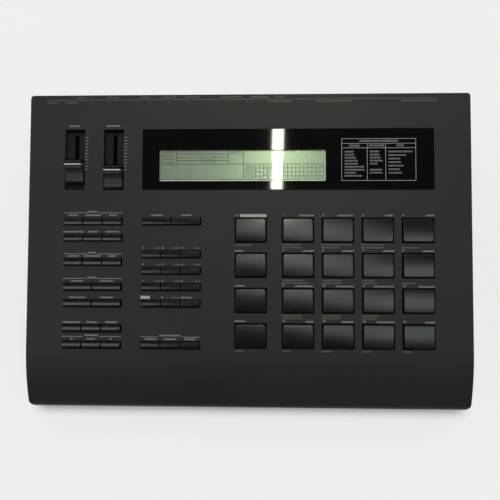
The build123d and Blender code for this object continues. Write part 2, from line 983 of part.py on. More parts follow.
def power_switch():
    """The latching switch behind the button, open in front for its stem."""
    x, z = power_x, upper_row_height
    front = rear_inside_y - flange_gap - power_collar_thickness - power_travel - stop_gap
    back = front - power_body_depth
    body = rear_block(power_body_size, power_body_size, back, front, x, z)
    for side in (-1, 1):
        ear_x = x + side * (power_body_size + 2 * power_collar_margin) / 2
        body += rear_block(2 * power_collar_margin, power_body_size, back, rear_inside_y, ear_x, z)
    room = power_stem_size + 2 * slide_gap
    return body - rear_block(room, room, back + power_body_wall, front + past, x, z)


def contrast_knob():
    """The ribbed contrast knob and its shaft in one piece."""
    x, z = contrast_x, lower_row_height
    foot = rear_y + pot_bush_proud + lie_gap
    tip = rear_y + knob_proud
    knob = rear_rod(knob_radius, foot, tip, x, z)
    knob = chamfer(knob.faces().sort_by(Axis.Y)[-1].edges(), knob_edge_bevel)
    for place in range(knob_rib_count):
        turn = radians(360 / knob_rib_count * place)
        rib_x = x + knob_radius * cos(turn)
        rib_z = z + knob_radius * sin(turn)
        knob -= rear_rod(knob_rib_radius, foot - past, tip + past, rib_x, rib_z)
    pointer_low = tip - knob_pointer_depth
    pointer = rear_block(
        knob_pointer_width, knob_radius, pointer_low, tip + past, x, z + knob_radius / 2
    )
    return knob - pointer + rear_rod(shaft_radius, rear_y - shaft_depth, foot + past, x, z)


def contrast_pot():
    """The small rotary pot that the contrast knob turns."""
    x, z = contrast_x, lower_row_height
    inner = rear_inside_y - contrast_body_depth
    body = rear_block(contrast_body_size, contrast_body_size, inner, rear_inside_y, x, z)
    base_z = board_top + contrast_base_height / 2
    base = rear_block(contrast_body_size, contrast_base_height, inner, rear_inside_y, x, base_z)
    leg_outer = inner + contrast_leg_thickness
    leg_z = (z + board_top) / 2
    leg = rear_block(contrast_leg_width, z - board_top, inner, leg_outer, x, leg_z)
    mouth = rear_y + pot_bush_proud
    bush = rear_rod(pot_bush_radius, rear_inside_y - past, mouth, x, z)
    floor = rear_y - shaft_depth - shaft_end_room
    bore = rear_rod(shaft_radius + turn_gap, floor, mouth + past, x, z)
    return body + bush + leg + base - bore


def card_sockets():
    """The two guides that take a memory card each."""
    z = lower_row_height
    inner = rear_y - card_slot_depth
    top = z + card_slot_height / 2 + card_body_above
    body_z = (top + board_top) / 2
    sockets = []
    for x in card_slots_x:
        body = rear_block(
            card_body_width, top - board_top, inner - card_body_end, rear_inside_y, x, body_z
        )
        room = rear_block(card_slot_width, card_slot_height, inner, rear_y + past, x, z)
        sockets.append(body - room)
    return sockets


def rear_panel():
    """The painted steel plate that the sockets come through."""
    plate = rear_block(
        rear_panel_width, rear_panel_height, rear_inside_y, rear_y, 0, rear_panel_z
    )
    inner, outer = rear_inside_y - past, rear_y + past
    upper = upper_row_height
    round_holes = [(jack_bush_radius, x, z) for x, z in jack_places()]
    round_holes += [(sync_bush_radius, x, upper) for x in sync_jacks_x]
    round_holes += [(din_mouth_radius, x, upper) for x in din_sockets_x]
    round_holes += [
        (inlet_mouth_radius, inlet_x, upper),
        (pot_bush_radius, contrast_x, lower_row_height),
    ]
    round_holes += [(pilot_radius, x, z) for x, z in rear_screw_places]
    holes = [rear_rod(radius + hole_gap, inner, outer, x, z) for radius, x, z in round_holes]
    button_room = power_button_size + 2 * slide_gap
    holes.append(rear_block(button_room, button_room, inner, outer, power_x, upper))
    for x in card_slots_x:
        holes.append(
            rear_block(card_slot_width, card_slot_height, inner, outer, x, lower_row_height)
        )
    return plate - holes


# ---- every node, and its file


def all_nodes():
    """Each node's name with its solid or its list of solids."""
    nodes = {
        "upper_case": upper_case(),
        "rear_panel": rear_panel(),
        "bottom_plate": bottom_plate(),
        "feet": feet(),
        "screws": screws(),
        "display_window": display_window(),
        "lcd_glass": lcd_glass(),
        "lcd_module": lcd_module(),
        "panel_board": panel_board(),
        "pad_sheet": pad_sheet(),
        "key_switches": key_switches(),
        "slide_pots": slide_pots(),
        "main_board": main_board(),
        "jack_sockets": jack_sockets(),
        "jack_nuts": jack_nuts(),
        "sync_jacks": sync_jacks(),
        "din_sockets": din_sockets(),
        "dc_inlet": dc_inlet(),
        "card_sockets": card_sockets(),
        "power_switch": power_switch(),
        "power_button": power_button(),
        "contrast_pot": contrast_pot(),
        "contrast_knob": contrast_knob(),
        "left_slider": slider(slider_left_x, slider_left_rest),
        "right_slider": slider(slider_right_x, 0.0),
    }
    for name, (block_x, rows) in zip(("left_keys", "middle_keys"), key_blocks):
        for number, (y, count) in enumerate(rows, start=1):
            nodes[f"{name}_{number}"] = key_strip(block_x, y, count)
    one_pad = pad()
    for number, (x, y) in enumerate(pad_places, start=1):
        nodes[f"pad_{number:02d}"] = panel * Pos(x, y, 0) * one_pad
    for number, (x, y) in enumerate(control_places, start=1):
        nodes[f"control_pad_{number}"] = panel * Pos(x, y, 0) * one_pad
    return nodes


os.makedirs("parts", exist_ok=True)
for node, shape in all_nodes().items():
    solids = shape if isinstance(shape, list) else [shape]
    export_step(Compound(children=solids) if len(solids) > 1 else solids[0], f"parts/{node}.step")
    print(node, len(solids))
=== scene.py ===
# %% [markdown]
# # A drum machine, dressed
#
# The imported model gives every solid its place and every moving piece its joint. This lesson adds
# what the eye meets: the moulded case, the satin rubber pads, the small keys, the display behind
# its black window, and the printing. Each finished piece rides on a body of the model, so it
# moves when its joint moves.

# %% Load the model
import math

import bmesh
import bpy
from mathutils import Matrix, Vector


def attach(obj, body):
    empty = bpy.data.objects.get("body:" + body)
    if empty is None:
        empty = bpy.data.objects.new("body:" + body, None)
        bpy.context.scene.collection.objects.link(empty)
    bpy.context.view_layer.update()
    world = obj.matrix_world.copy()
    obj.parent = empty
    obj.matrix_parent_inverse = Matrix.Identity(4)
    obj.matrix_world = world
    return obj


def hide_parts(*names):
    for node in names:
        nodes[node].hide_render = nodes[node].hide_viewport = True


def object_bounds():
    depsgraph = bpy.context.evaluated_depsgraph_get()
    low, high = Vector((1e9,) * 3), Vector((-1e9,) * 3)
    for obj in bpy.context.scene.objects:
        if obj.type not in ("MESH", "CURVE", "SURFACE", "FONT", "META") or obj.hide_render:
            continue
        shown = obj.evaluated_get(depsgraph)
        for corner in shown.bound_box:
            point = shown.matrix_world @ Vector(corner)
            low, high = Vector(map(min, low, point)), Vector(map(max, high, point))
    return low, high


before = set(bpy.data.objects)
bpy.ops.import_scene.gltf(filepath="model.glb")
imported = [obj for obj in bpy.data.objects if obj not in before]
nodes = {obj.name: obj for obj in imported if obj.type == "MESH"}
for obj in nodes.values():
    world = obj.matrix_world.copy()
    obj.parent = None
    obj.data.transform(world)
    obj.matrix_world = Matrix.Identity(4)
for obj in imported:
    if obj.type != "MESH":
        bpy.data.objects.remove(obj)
cad_low, cad_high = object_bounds()

# %% [markdown]
# ## Millimetres, and the slope of the panel
#
# A maker's drawing of such a machine is in millimetres, and Blender counts in metres. The panel
# slopes down to the player by 6 degrees, so its pieces are drawn flat, with y = 0 at the rear
# edge and z = 0 on the panel, and laid on the slope at the very end. That keeps every number on
# the drawing straight.

# %% Units and the panel's place
MM = 0.001
SLOPE = math.radians(6.0)
REAR_EDGE = 140.0
REAR_HEIGHT = 65.0
PANEL = Matrix.Translation((0, REAR_EDGE * MM, REAR_HEIGHT * MM)) @ Matrix.Rotation(SLOPE, 4, "X")


def mm(x, y, z=0.0):
    """A place or a step in millimetres, as the metres that Blender counts in."""
    return Vector((x, y, z)) * MM


box = [round((b - a) / MM, 1) for a, b in zip(cad_low, cad_high)]
print("the model is", box[0], "x", box[1], "x", box[2], "mm")

# %% [markdown]
# ## The camera
#
# The eye is 0.59 m above the desk, a little in front of the machine's middle, and looks almost
# straight down. Its place comes from fitting the corners of the case and the rows of pads, so it
# is given as a place and two directions rather than by hand.

# %% Camera
EYE = Vector((0.02128, -0.08606, 0.58978))
AHEAD = Vector((-0.03466, 0.15124, -0.98789)).normalized()
HEAD_UP = Vector((-0.00212, 0.98847, 0.15140)).normalized()

bpy.ops.object.camera_add()
camera = bpy.context.object
camera.name = "camera"
camera.data.lens = 43.2
camera.data.sensor_width = 36.0
to_right = AHEAD.cross(HEAD_UP)
camera.matrix_world = Matrix((to_right, to_right.cross(AHEAD), -AHEAD)).transposed().to_4x4()
camera.matrix_world.translation = EYE
bpy.context.scene.camera = camera
bpy.context.scene.view_settings.view_transform = "Standard"
print("the camera is", round(EYE.z, 3), "m above the desk")

# %% [markdown]
# ## Colours and nodes
#
# A colour is written as it is seen on a screen, in hex, and one function turns it to the linear
# light that the shader wants. One more function adds a node, sets its options and sockets, and
# links what feeds it, because every finish below needs that.

# %% Colour and node helpers
def linear(code):
    """A screen colour such as 343532, as linear light with full opacity."""
    parts = [int(code[i:i + 2], 16) / 255 for i in (0, 2, 4)]
    light = [p / 12.92 if p <= 0.04045 else ((p + 0.055) / 1.055) ** 2.4 for p in parts]
    return (*light, 1.0)


def add_node(tree, kind, sockets=None, links=None, **options):
    """Adds a node with its options and socket values, and links what feeds it."""
    node = tree.nodes.new(kind)
    for name, value in options.items():
        setattr(node, name, value)
    for name, value in (sockets or {}).items():
        node.inputs[name].default_value = value
    for name, source in (links or {}).items():
        tree.links.new(source, node.inputs[name])
    return node


def noise(tree, place, scale, detail):
    """A grey value that wanders over a place, at a scale counted per metre."""
    return add_node(tree, "ShaderNodeTexNoise", {"Scale": scale, "Detail": detail},
                    {"Vector": place}).outputs["Fac"]


def stretch(tree, source, span, to, **options):
    """A grey value, stretched from one span to another."""
    sockets = {"From Min": span[0], "From Max": span[1], "To Min": to[0], "To Max": to[1]}
    node = add_node(tree, "ShaderNodeMapRange", sockets, {"Value": source}, **options)
    return node.outputs["Result"]


def two_shades(tree, source, stops, shades):
    """A ramp from one screen colour to another, over a grey value."""
    ramp = add_node(tree, "ShaderNodeValToRGB", links={"Fac": source})
    for stop, spot, shade in zip(ramp.color_ramp.elements, stops, shades):
        stop.position = spot
        stop.color = linear(shade)
    return ramp.outputs["Color"]


def new_material(name, **sockets):
    """A material of that name, its tree and its shader, with the shader's own values set."""
    material = bpy.data.materials.new(name)
    material.use_nodes = True
    shader = material.node_tree.nodes["Principled BSDF"]
    for socket, value in sockets.items():
        shader.inputs[socket.replace("_", " ")].default_value = value
    return material, material.node_tree, shader


print("343532 is", [round(c, 4) for c in linear("343532")[:3]], "in linear light")

# %% [markdown]
# ## Moulded and coated finishes
#
# Most of this machine is moulded plastic or rubber. A mould leaves a fine grain, and the surface
# is never quite even: the shade and the gloss wander a little over a few centimetres, where the
# melt cooled faster or fingers have polished it. So one function makes such a finish from two
# shades, the size of the patches, the size and depth of the grain, and a range of roughness.

# %% A function for moulded finishes
SHADE_STOPS, GLOSS_SPAN, WHOLE = (0.35, 0.65), (0.3, 0.7), (0.0, 1.0)


def moulded(name, shades, patch, grain, depth, rough, **sockets):
    """A finish with two shades in patches, grain of a size and depth in mm, and uneven gloss."""
    material, tree, shader = new_material(name, **sockets)
    place = add_node(tree, "ShaderNodeTexCoord").outputs["Object"]
    patches = noise(tree, place, 1 / (patch * MM), 4.0)
    tree.links.new(two_shades(tree, patches, SHADE_STOPS, shades), shader.inputs["Base Color"])
    tree.links.new(stretch(tree, patches, GLOSS_SPAN, rough), shader.inputs["Roughness"])
    pits = noise(tree, place, 1 / (grain * MM), 2.0)
    relief = add_node(tree, "ShaderNodeBump", {"Strength": 0.5, "Distance": depth * MM},
                      {"Height": pits})
    tree.links.new(relief.outputs["Normal"], shader.inputs["Normal"])
    return material


# Charcoal ABS, moulded against a spark-eroded tool: dull and faintly green, with a fine even grain.
case_abs = moulded("charcoal_abs_moulded", ("1a1c19", "1d1f1c"), 60, 0.5, 0.02, (0.54, 0.62),
                   Specular_IOR_Level=0.31)
# Down in the wells the same plastic is given far less gloss, so that it renders darker: painted
# shade.
well_abs_painted_shade = moulded("charcoal_abs_in_wells_painted_shade", ("1c1c1a", "1f1f1d"), 20, 0.5, 0.02, (0.75, 0.85),
                   Specular_IOR_Level=0.12)
# Black silicone rubber, pressed in a smooth tool: satin, so that a lamp spreads into a soft patch.
pad_rubber = moulded("black_silicone_pressed", ("060707", "090a0a"), 25, 0.8, 0.01, (0.21, 0.26))
# Black ABS for the keys: smoother than the case, because the tool was polished finer.
key_abs = moulded("black_abs_satin", ("060707", "0a0a0a"), 12, 0.4, 0.008, (0.2, 0.26))
# The slider caps are moulded from the same black ABS, with a slight green cast.
cap_abs = moulded("black_abs_slider_cap", ("0c0f0e", "101413"), 9, 0.4, 0.006, (0.44, 0.5))
# The fine beads on a cap are coloured a lighter grey than the cap: a painted highlight.
bead_painted_highlight = moulded("black_abs_beads_painted_highlight", ("3c403f", "464a49"), 5, 0.4, 0.004, (0.2, 0.3))
# Near-black and matt: a painted shade in the openings, under pads and keys and behind a slider's
# ridge; it is also the real dull black of the slide pots' dust covers.
black_and_painted_shade = moulded("near_black_and_painted_shade", ("070707", "0a0a0a"), 10, 0.4, 0.01, (0.8, 0.9),
                     Specular_IOR_Level=0.05)
print("moulded finishes:", case_abs.name, pad_rubber.name, key_abs.name, cap_abs.name)

# %% [markdown]
# ## Hands in edit mode
#
# The pieces are shaped as by hand: a block is added at its size and place, faces or edges are
# picked, and an operator works on what is picked. With no window to click in, a test in code
# does the picking. Everything is let go of first, because an operator acts on all that is
# selected, and the model's own nodes arrive selected.

# %% Helpers for modelling
def only(*pieces):
    """Back in object mode, selects these pieces alone and makes the first one active."""
    if bpy.context.mode != "OBJECT":
        bpy.ops.object.mode_set(mode="OBJECT")
    bpy.ops.object.select_all(action="DESELECT")
    for piece in pieces:
        piece.select_set(True)
    bpy.context.view_layer.objects.active = pieces[0]


def pick(kind, wanted):
    """In edit mode, selects the vertices, edges or faces that the test wants, and counts them."""
    bpy.ops.mesh.select_mode(type=kind)
    bpy.ops.mesh.select_all(action="DESELECT")
    mesh = bmesh.from_edit_mesh(bpy.context.edit_object.data)
    parts = {"VERT": mesh.verts, "EDGE": mesh.edges, "FACE": mesh.faces}[kind]
    hits = [part for part in parts if wanted(part)]
    for part in hits:
        part.select_set(True)
    mesh.select_flush_mode()
    bmesh.update_edit_mesh(bpy.context.edit_object.data)
    return len(hits)


def block(name, x0, x1, y0, y1, z0, z1):
    """A block between two corners in millimetres: the start of many pieces."""
    middle = mm((x0 + x1) / 2, (y0 + y1) / 2, (z0 + z1) / 2)
    bpy.ops.mesh.primitive_cube_add(size=1, location=middle, scale=mm(x1 - x0, y1 - y0, z1 - z0))
    piece = bpy.context.object
    piece.name = name
    bpy.ops.object.transform_apply(location=True, rotation=False, scale=True)
    return piece


def edit(piece):
    """Opens a piece for editing."""
    only(piece)
    bpy.ops.object.mode_set(mode="EDIT")


def round_edges(piece, radius, segments, wanted):
    """Rounds the edges that the test wants, by a radius in millimetres."""
    edit(piece)
    count = pick("EDGE", wanted)
    bpy.ops.mesh.bevel(offset=radius * MM, segments=segments, affect="EDGES")
    bpy.ops.object.mode_set(mode="OBJECT")
    return count


def pull(x, y, z=0.0):
    """In edit mode, extrudes what is picked by a step in millimetres."""
    bpy.ops.mesh.extrude_region_move(TRANSFORM_OT_translate={"value": mm(x, y, z)})


def slice_at(axis, places):
    """In edit mode, cuts the mesh across an axis at these places in millimetres."""
    for place in places:
        bpy.ops.mesh.select_all(action="SELECT")
        spot, facing = Vector((0, 0, 0)), Vector((0, 0, 0))
        spot[axis] = place * MM
        facing[axis] = 1.0
        bpy.ops.mesh.bisect(plane_co=spot, plane_no=facing)


print("modelling helpers are ready")

# %% [markdown]
# Some tests for picking come back on every piece: an edge that stands upright, and an edge or a
# face that lies on a level. A finished piece is laid in its place, smoothed by angle, and hung on
# its body. Its place goes into its mesh, so that its object sits at the origin and its grain
# keeps the scale of the real one.

# %% Tests for picking, and the last step of each piece
NEAR = 0.01 * MM
# A face stands as a wall when its normal rises less than this.
WALL = 0.3


def upright(edge):
    """Tells whether an edge runs straight up."""
    a, b = (v.co for v in edge.verts)
    return abs(a.x - b.x) < NEAR and abs(a.y - b.y) < NEAR


def at_level(part, level):
    """Tells whether all of an edge or face lies at a height in millimetres."""
    return all(abs(v.co.z - level * MM) < NEAR for v in part.verts)


def flare(piece, level, growth, foot):
    """Widens the underside of a piece, which is at a level, and draws it down to a foot."""
    edit(piece)
    pick("FACE", lambda face: at_level(face, level))
    bpy.ops.mesh.extrude_region()
    bpy.ops.transform.resize(value=growth, center_override=mm(0, 0, level))
    pull(0, 0, foot - level)
    bpy.ops.object.mode_set(mode="OBJECT")


def coat(piece, *finishes):
    """Adds finishes to a piece, in their order."""
    for finish in finishes:
        piece.data.materials.append(finish)


def dress(piece, body, *finishes, replaced=(), slot=None, smooth=30, place=PANEL):
    """Lays a finished piece in its place, gives it its finishes, and hangs it on its body."""
    only(piece)
    piece.matrix_world = place @ piece.matrix_world
    bpy.ops.object.transform_apply(location=True, rotation=True, scale=True)
    if smooth:
        bpy.ops.object.shade_smooth_by_angle(angle=math.radians(smooth))
        # Normals are weighted by area, so that flat faces stay flat up to their rounded rims.
        weighting = piece.modifiers.new("flat faces stay flat", "WEIGHTED_NORMAL")
        weighting.keep_sharp = True
        bpy.ops.object.modifier_apply(modifier=weighting.name)
    coat(piece, *finishes)
    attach(piece, body)
    if replaced:
        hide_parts(*replaced)
    return piece


def twin(piece, name):
    """A copy of a piece, with its own mesh."""
    copy = piece.copy()
    copy.data = piece.data.copy()
    copy.name = name
    bpy.context.scene.collection.objects.link(copy)
    return copy


print("an edge counts as level within", NEAR / MM, "mm")

# %% [markdown]
# ## The case
#
# The upper case is one moulding: a flat panel that rolls over at the front, with an opening for
# every pad and key row, two sunken wells for the sliders and a shallow bed for the window. Its
# solid already has every one of those edges, so it is the start here: a copy is merged, because
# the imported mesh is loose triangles, then its rounded edges are smoothed. Weighted normals keep
# the flat panel flat right up to its rims.

# %% The case from its solid
case = twin(nodes["upper_case"], "moulded_case")
case.parent = None
# The copy forgets what the model's loader wrote on the solid.
for key in list(case.keys()):
    del case[key]
case.data.materials.clear()
edit(case)
bpy.ops.mesh.select_all(action="SELECT")
bpy.ops.mesh.remove_doubles(threshold=0.001 * MM)
bpy.ops.mesh.dissolve_limited(angle_limit=math.radians(0.5))
bpy.ops.object.mode_set(mode="OBJECT")
dress(case, "case", case_abs, replaced=("upper_case",), slot="case_plastic", smooth=35,
      place=Matrix.Identity(4))
print("the case has", len(case.data.polygons), "faces")

# %% Painted shade in wells and openings
WELLS = ((-170.5, -149.9, -89.5, -32.5), (-134.4, -113.8, -89.5, -32.5))
WELL_FLOOR, PANEL_FOOT = -6.0, -8.0
KEYS_AND_PADS = (-176.0, 186.0, -246.0, -104.0)
ABOVE_PANEL, WELL_RIM, FLOOR_SLACK = 0.05, -0.6, 0.1
IN_WELL, IN_OPENING = 1, 2
# The wells get a low-gloss finish and the walls of the openings get near-black: both are painted
# shade.
coat(case, well_abs_painted_shade, black_and_painted_shade)


def within(corners, x0, x1, y0, y1):
    """Tells whether all these corners, in millimetres on the panel, lie in a box."""
    return all(x0 < c.x < x1 and y0 < c.y < y1 for c in corners)


to_panel = PANEL.inverted()
for face in case.data.polygons:
    corners = [to_panel @ case.data.vertices[i].co / MM for i in face.vertices]
    if max(c.z for c in corners) > ABOVE_PANEL:
        continue
    stands = abs((to_panel.to_3x3() @ face.normal).z) < WALL
    middle = sum(c.z for c in corners) / len(corners)
    in_well = any(within(corners, *well) for well in WELLS)
    deep = min(c.z for c in corners) < PANEL_FOOT
    if in_well and WELL_FLOOR - FLOOR_SLACK < middle < WELL_RIM:
        face.material_index = IN_WELL
    elif in_well and middle < WELL_FLOOR:
        face.material_index = IN_OPENING
    elif stands and not deep and within(corners, *KEYS_AND_PADS):
        face.material_index = IN_OPENING
given = [face.material_index for face in case.data.polygons]
print(given.count(IN_WELL), "faces lie in the wells and", given.count(IN_OPENING), "in openings")

# %% [markdown]
# ## Crowned tops
#
# The pads and the keys are all low blocks whose top is crowned from front to rear, the pads with
# a wide sweep and the keys with a tight one. That crown is what makes each of them catch the
# light as a band instead of going bright or dark all over. A block is cut across into strips,
# and each line across its top is lifted to the arc.

# %% A block with a crowned top
def crowned(name, size, under, rim, radius, strips, corner=None):
    """A block of a width and length whose top is lifted to an arc, from its rim height up."""
    width, length = size
    piece = block(name, -width / 2, width / 2, -length / 2, length / 2, under, rim)
    if corner:
        round_edges(piece, corner, 5, upright)
    edit(piece)
    slice_at(1, [length * (i / strips - 0.5) for i in range(1, strips)])
    mesh = bmesh.from_edit_mesh(piece.data)
    top = rim * MM - NEAR
    lines = sorted({round(v.co.y / MM, 3) for v in mesh.verts if v.co.z > top})
    for y in lines:
        pick("VERT", lambda v: abs(v.co.y - y * MM) < NEAR and v.co.z > top)
        rise = math.sqrt(radius**2 - y**2) - math.sqrt(radius**2 - (length / 2) ** 2)
        bpy.ops.transform.translate(value=mm(0, 0, rise))
    bpy.ops.object.mode_set(mode="OBJECT")
    return piece


def around_top(edge):
    """Tells whether an edge lies between the sides of a piece and its top."""
    walls = [abs(face.normal.z) < WALL for face in edge.link_faces]
    return sum(walls) == 1 and min(v.co.z for v in edge.verts) > 0


def paint_shade_below(piece, level):
    """Gives the second finish, a near-black painted shade, to the faces under a height in
    millimetres.
    """
    for face in piece.data.polygons:
        if max(piece.data.vertices[i].co.z for i in face.vertices) < level * MM:
            face.material_index = 1


print("crowned tops and their tests are ready")

# %% [markdown]
# ## The drum pads
#
# A drum pad is pressed from silicone rubber, with a flange under the panel that keeps it from
# falling out. One pad is modelled and copied. The pads stand in four rows of five: the first of
# each row is a control pad, and the other four are drum pads, numbered from the rear left.

# %% One pad
PAD_SIZE = (26.9, 20.7)
PAD_RIM, PAD_CROWN, PAD_STRIPS = 1.7, 105.0, 10
PAD_CORNER, PAD_EDGE = 1.6, 0.5
# Faces of pads and keys below the second height get a near-black painted shade.
UNDER, SHADE_FROM = -2.7, -2.6
FLANGE_SIZE, FLANGE_FOOT = (31.0, 24.8), -4.2

pad = crowned("pad", PAD_SIZE, UNDER, PAD_RIM, PAD_CROWN, PAD_STRIPS, corner=PAD_CORNER)
rounded = round_edges(pad, PAD_EDGE, 3, around_top)
flare(pad, UNDER, (FLANGE_SIZE[0] / PAD_SIZE[0], FLANGE_SIZE[1] / PAD_SIZE[1], 1), FLANGE_FOOT)
# The flange under the gap round the pad is painted near-black: painted shade.
paint_shade_below(pad, SHADE_FROM)
print("the pad is", round(pad.dimensions.z / MM, 2), "mm high;", rounded, "rim edges rounded")

# %% Twenty pads
PAD_ROW, PAD_ROW_PITCH = -126.1, 32.0
CONTROL_X, DRUM_X, DRUM_PITCH = 3.0, 46.0, 36.1
pad_places = {}
for row in range(4):
    y = PAD_ROW - PAD_ROW_PITCH * row
    pad_places[f"control_pad_{row + 1}"] = (CONTROL_X, y)
    for column in range(4):
        pad_places[f"pad_{4 * row + column + 1:02d}"] = (DRUM_X + DRUM_PITCH * column, y)
for name, (x, y) in pad_places.items():
    dress(twin(pad, f"rubber_{name}"), name, pad_rubber, black_and_painted_shade, replaced=(name,),
          slot="pad_rubber", smooth=40, place=PANEL @ Matrix.Translation(mm(x, y)))
bpy.data.objects.remove(pad)
print(len(pad_places), "pads in place")

# %% [markdown]
# ## The small keys
#
# The keys of a row share one web under the panel, and a row has three narrow keys or two wide
# ones. Each width is modelled once, and each row joins its copies to its web.

# %% Two widths of key
KEY_LENGTH, KEY_PITCH, KEY_GAP = 6.2, 18.0, 1.1
KEY_RIM, KEY_CROWN, KEY_STRIPS, KEY_EDGE = 2.0, 12.0, 8, 0.2
WEB_SIZE, WEB_FOOT = (56.6, 9.3), -3.9
keys = {}
for count in (2, 3):
    key = crowned("key", (3 * KEY_PITCH / count - KEY_GAP, KEY_LENGTH), UNDER, KEY_RIM, KEY_CROWN,
                  KEY_STRIPS)
    round_edges(key, KEY_EDGE, 2, around_top)
    keys[count] = key
    print("with", count, "in a row, a key is", round(key.dimensions.x / MM, 1), "mm wide")

# %% Thirteen rows of keys
LEFT_X, MIDDLE_X = -142.3, -69.8
left_rows = list(zip((-118, -133, -155.4, -178.3, -193.3, -216.1, -231.1), (3, 3, 3, 2, 2, 3, 3)))
middle_rows = list(zip((-118, -148.3, -163.3, -178.3, -193.3, -231.1), (2, 3, 3, 3, 3, 3)))


def key_xs(block_x, count):
    """The middles of a row's keys."""
    return [block_x + 3 * KEY_PITCH / count * (i - (count - 1) / 2) for i in range(count)]


for side, block_x, rows in (("left", LEFT_X, left_rows), ("middle", MIDDLE_X, middle_rows)):
    for number, (y, count) in enumerate(rows, 1):
        name = f"{side}_keys_{number}"
        row = block(f"{side}_key_row_{number}", block_x - WEB_SIZE[0] / 2,
                    block_x + WEB_SIZE[0] / 2, y - WEB_SIZE[1] / 2, y + WEB_SIZE[1] / 2,
                    WEB_FOOT, UNDER)
        caps = []
        for x in key_xs(block_x, count):
            cap = twin(keys[count], "cap")
            cap.location = mm(x, y)
            caps.append(cap)
        only(row, *caps)
        bpy.ops.object.join()
        # The web under the gaps between keys is painted near-black: painted shade.
        paint_shade_below(row, SHADE_FROM)
        dress(row, name, key_abs, black_and_painted_shade, replaced=(name,), slot="key_plastic", smooth=40)
for key in keys.values():
    bpy.data.objects.remove(key)
print(len(left_rows) + len(middle_rows), "rows of keys in place")

# %% [markdown]
# ## The slider caps
#
# A slider cap has a ridge that a fingertip pushes, a hollow sweep in front of it for the pad of
# the finger, and a white line across the ridge that points at the scale. Its side is drawn as an
# outline, vertex by vertex, with the sweep spun about its centre, and then extruded to the cap's
# width. The top is drawn in a little, as moulded caps are so that they leave the mould.

# %% The cap's outline
CAP_WIDTH, CAP_TOP_WIDTH = 17.0, 15.9
CAP_FOOT = -5.0
CAP_FRONT, CAP_REAR = -16.4, 4.9
SHOULDER, RIDGE, HALF_RIDGE = 6.4, 8.4, 0.9
SCOOP = Vector((-8.2, 1.6))
TOE = 2.4
CAP_EDGE, SHARP = 0.3, math.radians(25)


def circle_through(a, b, c):
    """The centre of the circle through three points in a plane."""
    ab, ac = b - a, c - a
    twice = 2 * ab.cross(ac)
    return a + Vector((ac.y * ab.length_squared - ab.y * ac.length_squared,
                       ab.x * ac.length_squared - ac.x * ab.length_squared)) / twice


ridge_end, toe_end = Vector((-HALF_RIDGE, RIDGE)), Vector((CAP_FRONT, TOE))
sweep_middle = circle_through(ridge_end, SCOOP, toe_end)
bpy.ops.mesh.primitive_plane_add(size=MM, location=(0, 0, 0))
cap_start = bpy.context.object
cap_start.name = "slider_cap"
bpy.ops.object.mode_set(mode="EDIT")
bpy.ops.mesh.select_mode(type="VERT")
bpy.ops.mesh.select_all(action="SELECT")
bpy.ops.mesh.merge(type="CENTER")
bpy.ops.transform.translate(value=mm(-CAP_WIDTH / 2, CAP_FRONT, TOE))
corners = [(CAP_FRONT, TOE), (CAP_FRONT, CAP_FOOT), (CAP_REAR, CAP_FOOT), (CAP_REAR, SHOULDER),
           (HALF_RIDGE, RIDGE), (-HALF_RIDGE, RIDGE)]
for (y0, z0), (y1, z1) in zip(corners, corners[1:]):
    pull(0, y1 - y0, z1 - z0)
turn = (ridge_end - sweep_middle).angle_signed(toe_end - sweep_middle)
bpy.ops.mesh.spin(steps=12, angle=turn, center=mm(-CAP_WIDTH / 2, *sweep_middle), axis=(1, 0, 0))
print("the sweep has a radius of", round((ridge_end - sweep_middle).length, 1), "mm and turns",
      round(math.degrees(turn), 1), "degrees")

# %% The cap's body
bpy.ops.mesh.select_all(action="SELECT")
bpy.ops.mesh.remove_doubles(threshold=0.02 * MM)
bpy.ops.mesh.edge_face_add()
pull(CAP_WIDTH, 0)
bpy.ops.mesh.select_all(action="SELECT")
bpy.ops.mesh.normals_make_consistent(inside=False)
heights = sorted({round(v.co.z / MM, 3)
                  for v in bmesh.from_edit_mesh(cap_start.data).verts if v.co.z > 0})
for level in heights:
    pick("VERT", lambda v: abs(v.co.z - level * MM) < NEAR)
    drawn_in = 1 - (1 - CAP_TOP_WIDTH / CAP_WIDTH) * (level - CAP_FOOT) / (RIDGE - CAP_FOOT)
    bpy.ops.transform.resize(value=(drawn_in, 1, 1), center_override=(0, 0, 0))
bpy.ops.object.mode_set(mode="OBJECT")
soft = round_edges(cap_start, CAP_EDGE, 2, lambda edge: edge.calc_face_angle(0.0) > SHARP
                   and max(v.co.z for v in edge.verts) > 0)
print("the cap has", soft, "softened edges and", len(cap_start.data.polygons), "faces")

# %% [markdown]
# ## The line on the cap, and its lever
#
# The white line is a foil pressed across the ridge. On the scale's side it goes over the edge and
# runs down to a point, so that it can be read against the marks. A fine bead lies on either side
# of it, coloured a lighter grey as a painted highlight. The slope behind the ridge is painted
# near-black, a painted shade. Under the cap stands the steel lever of the slide pot. Each cap and
# lever is one piece with five finishes.

# %% Printing inks and steel
# Screen-printed ink on the case: a light warm grey, dull, slightly worn by wiping.
white_ink = moulded("pale_grey_screen_print", ("8f8f8a", "999994"), 15, 0.5, 0.002, (0.55, 0.7))
# The second ink is a darker grey that recedes, for words that matter less.
dim_ink = moulded("dim_grey_screen_print", ("66625a", "6e6a62"), 15, 0.5, 0.002, (0.55, 0.7))
# The line on a slider cap is hot-stamped white foil, smoother than ink.
line_foil = moulded("white_hot_stamped_foil", ("a0a29e", "acaeaa"), 6, 0.6, 0.002, (0.3, 0.4))
# The window's ink is printed on a gloss plate, so it is thicker and whiter.
window_ink = moulded("white_ink_on_acrylic", ("989894", "a2a29e"), 15, 0.5, 0.002, (0.4, 0.5))


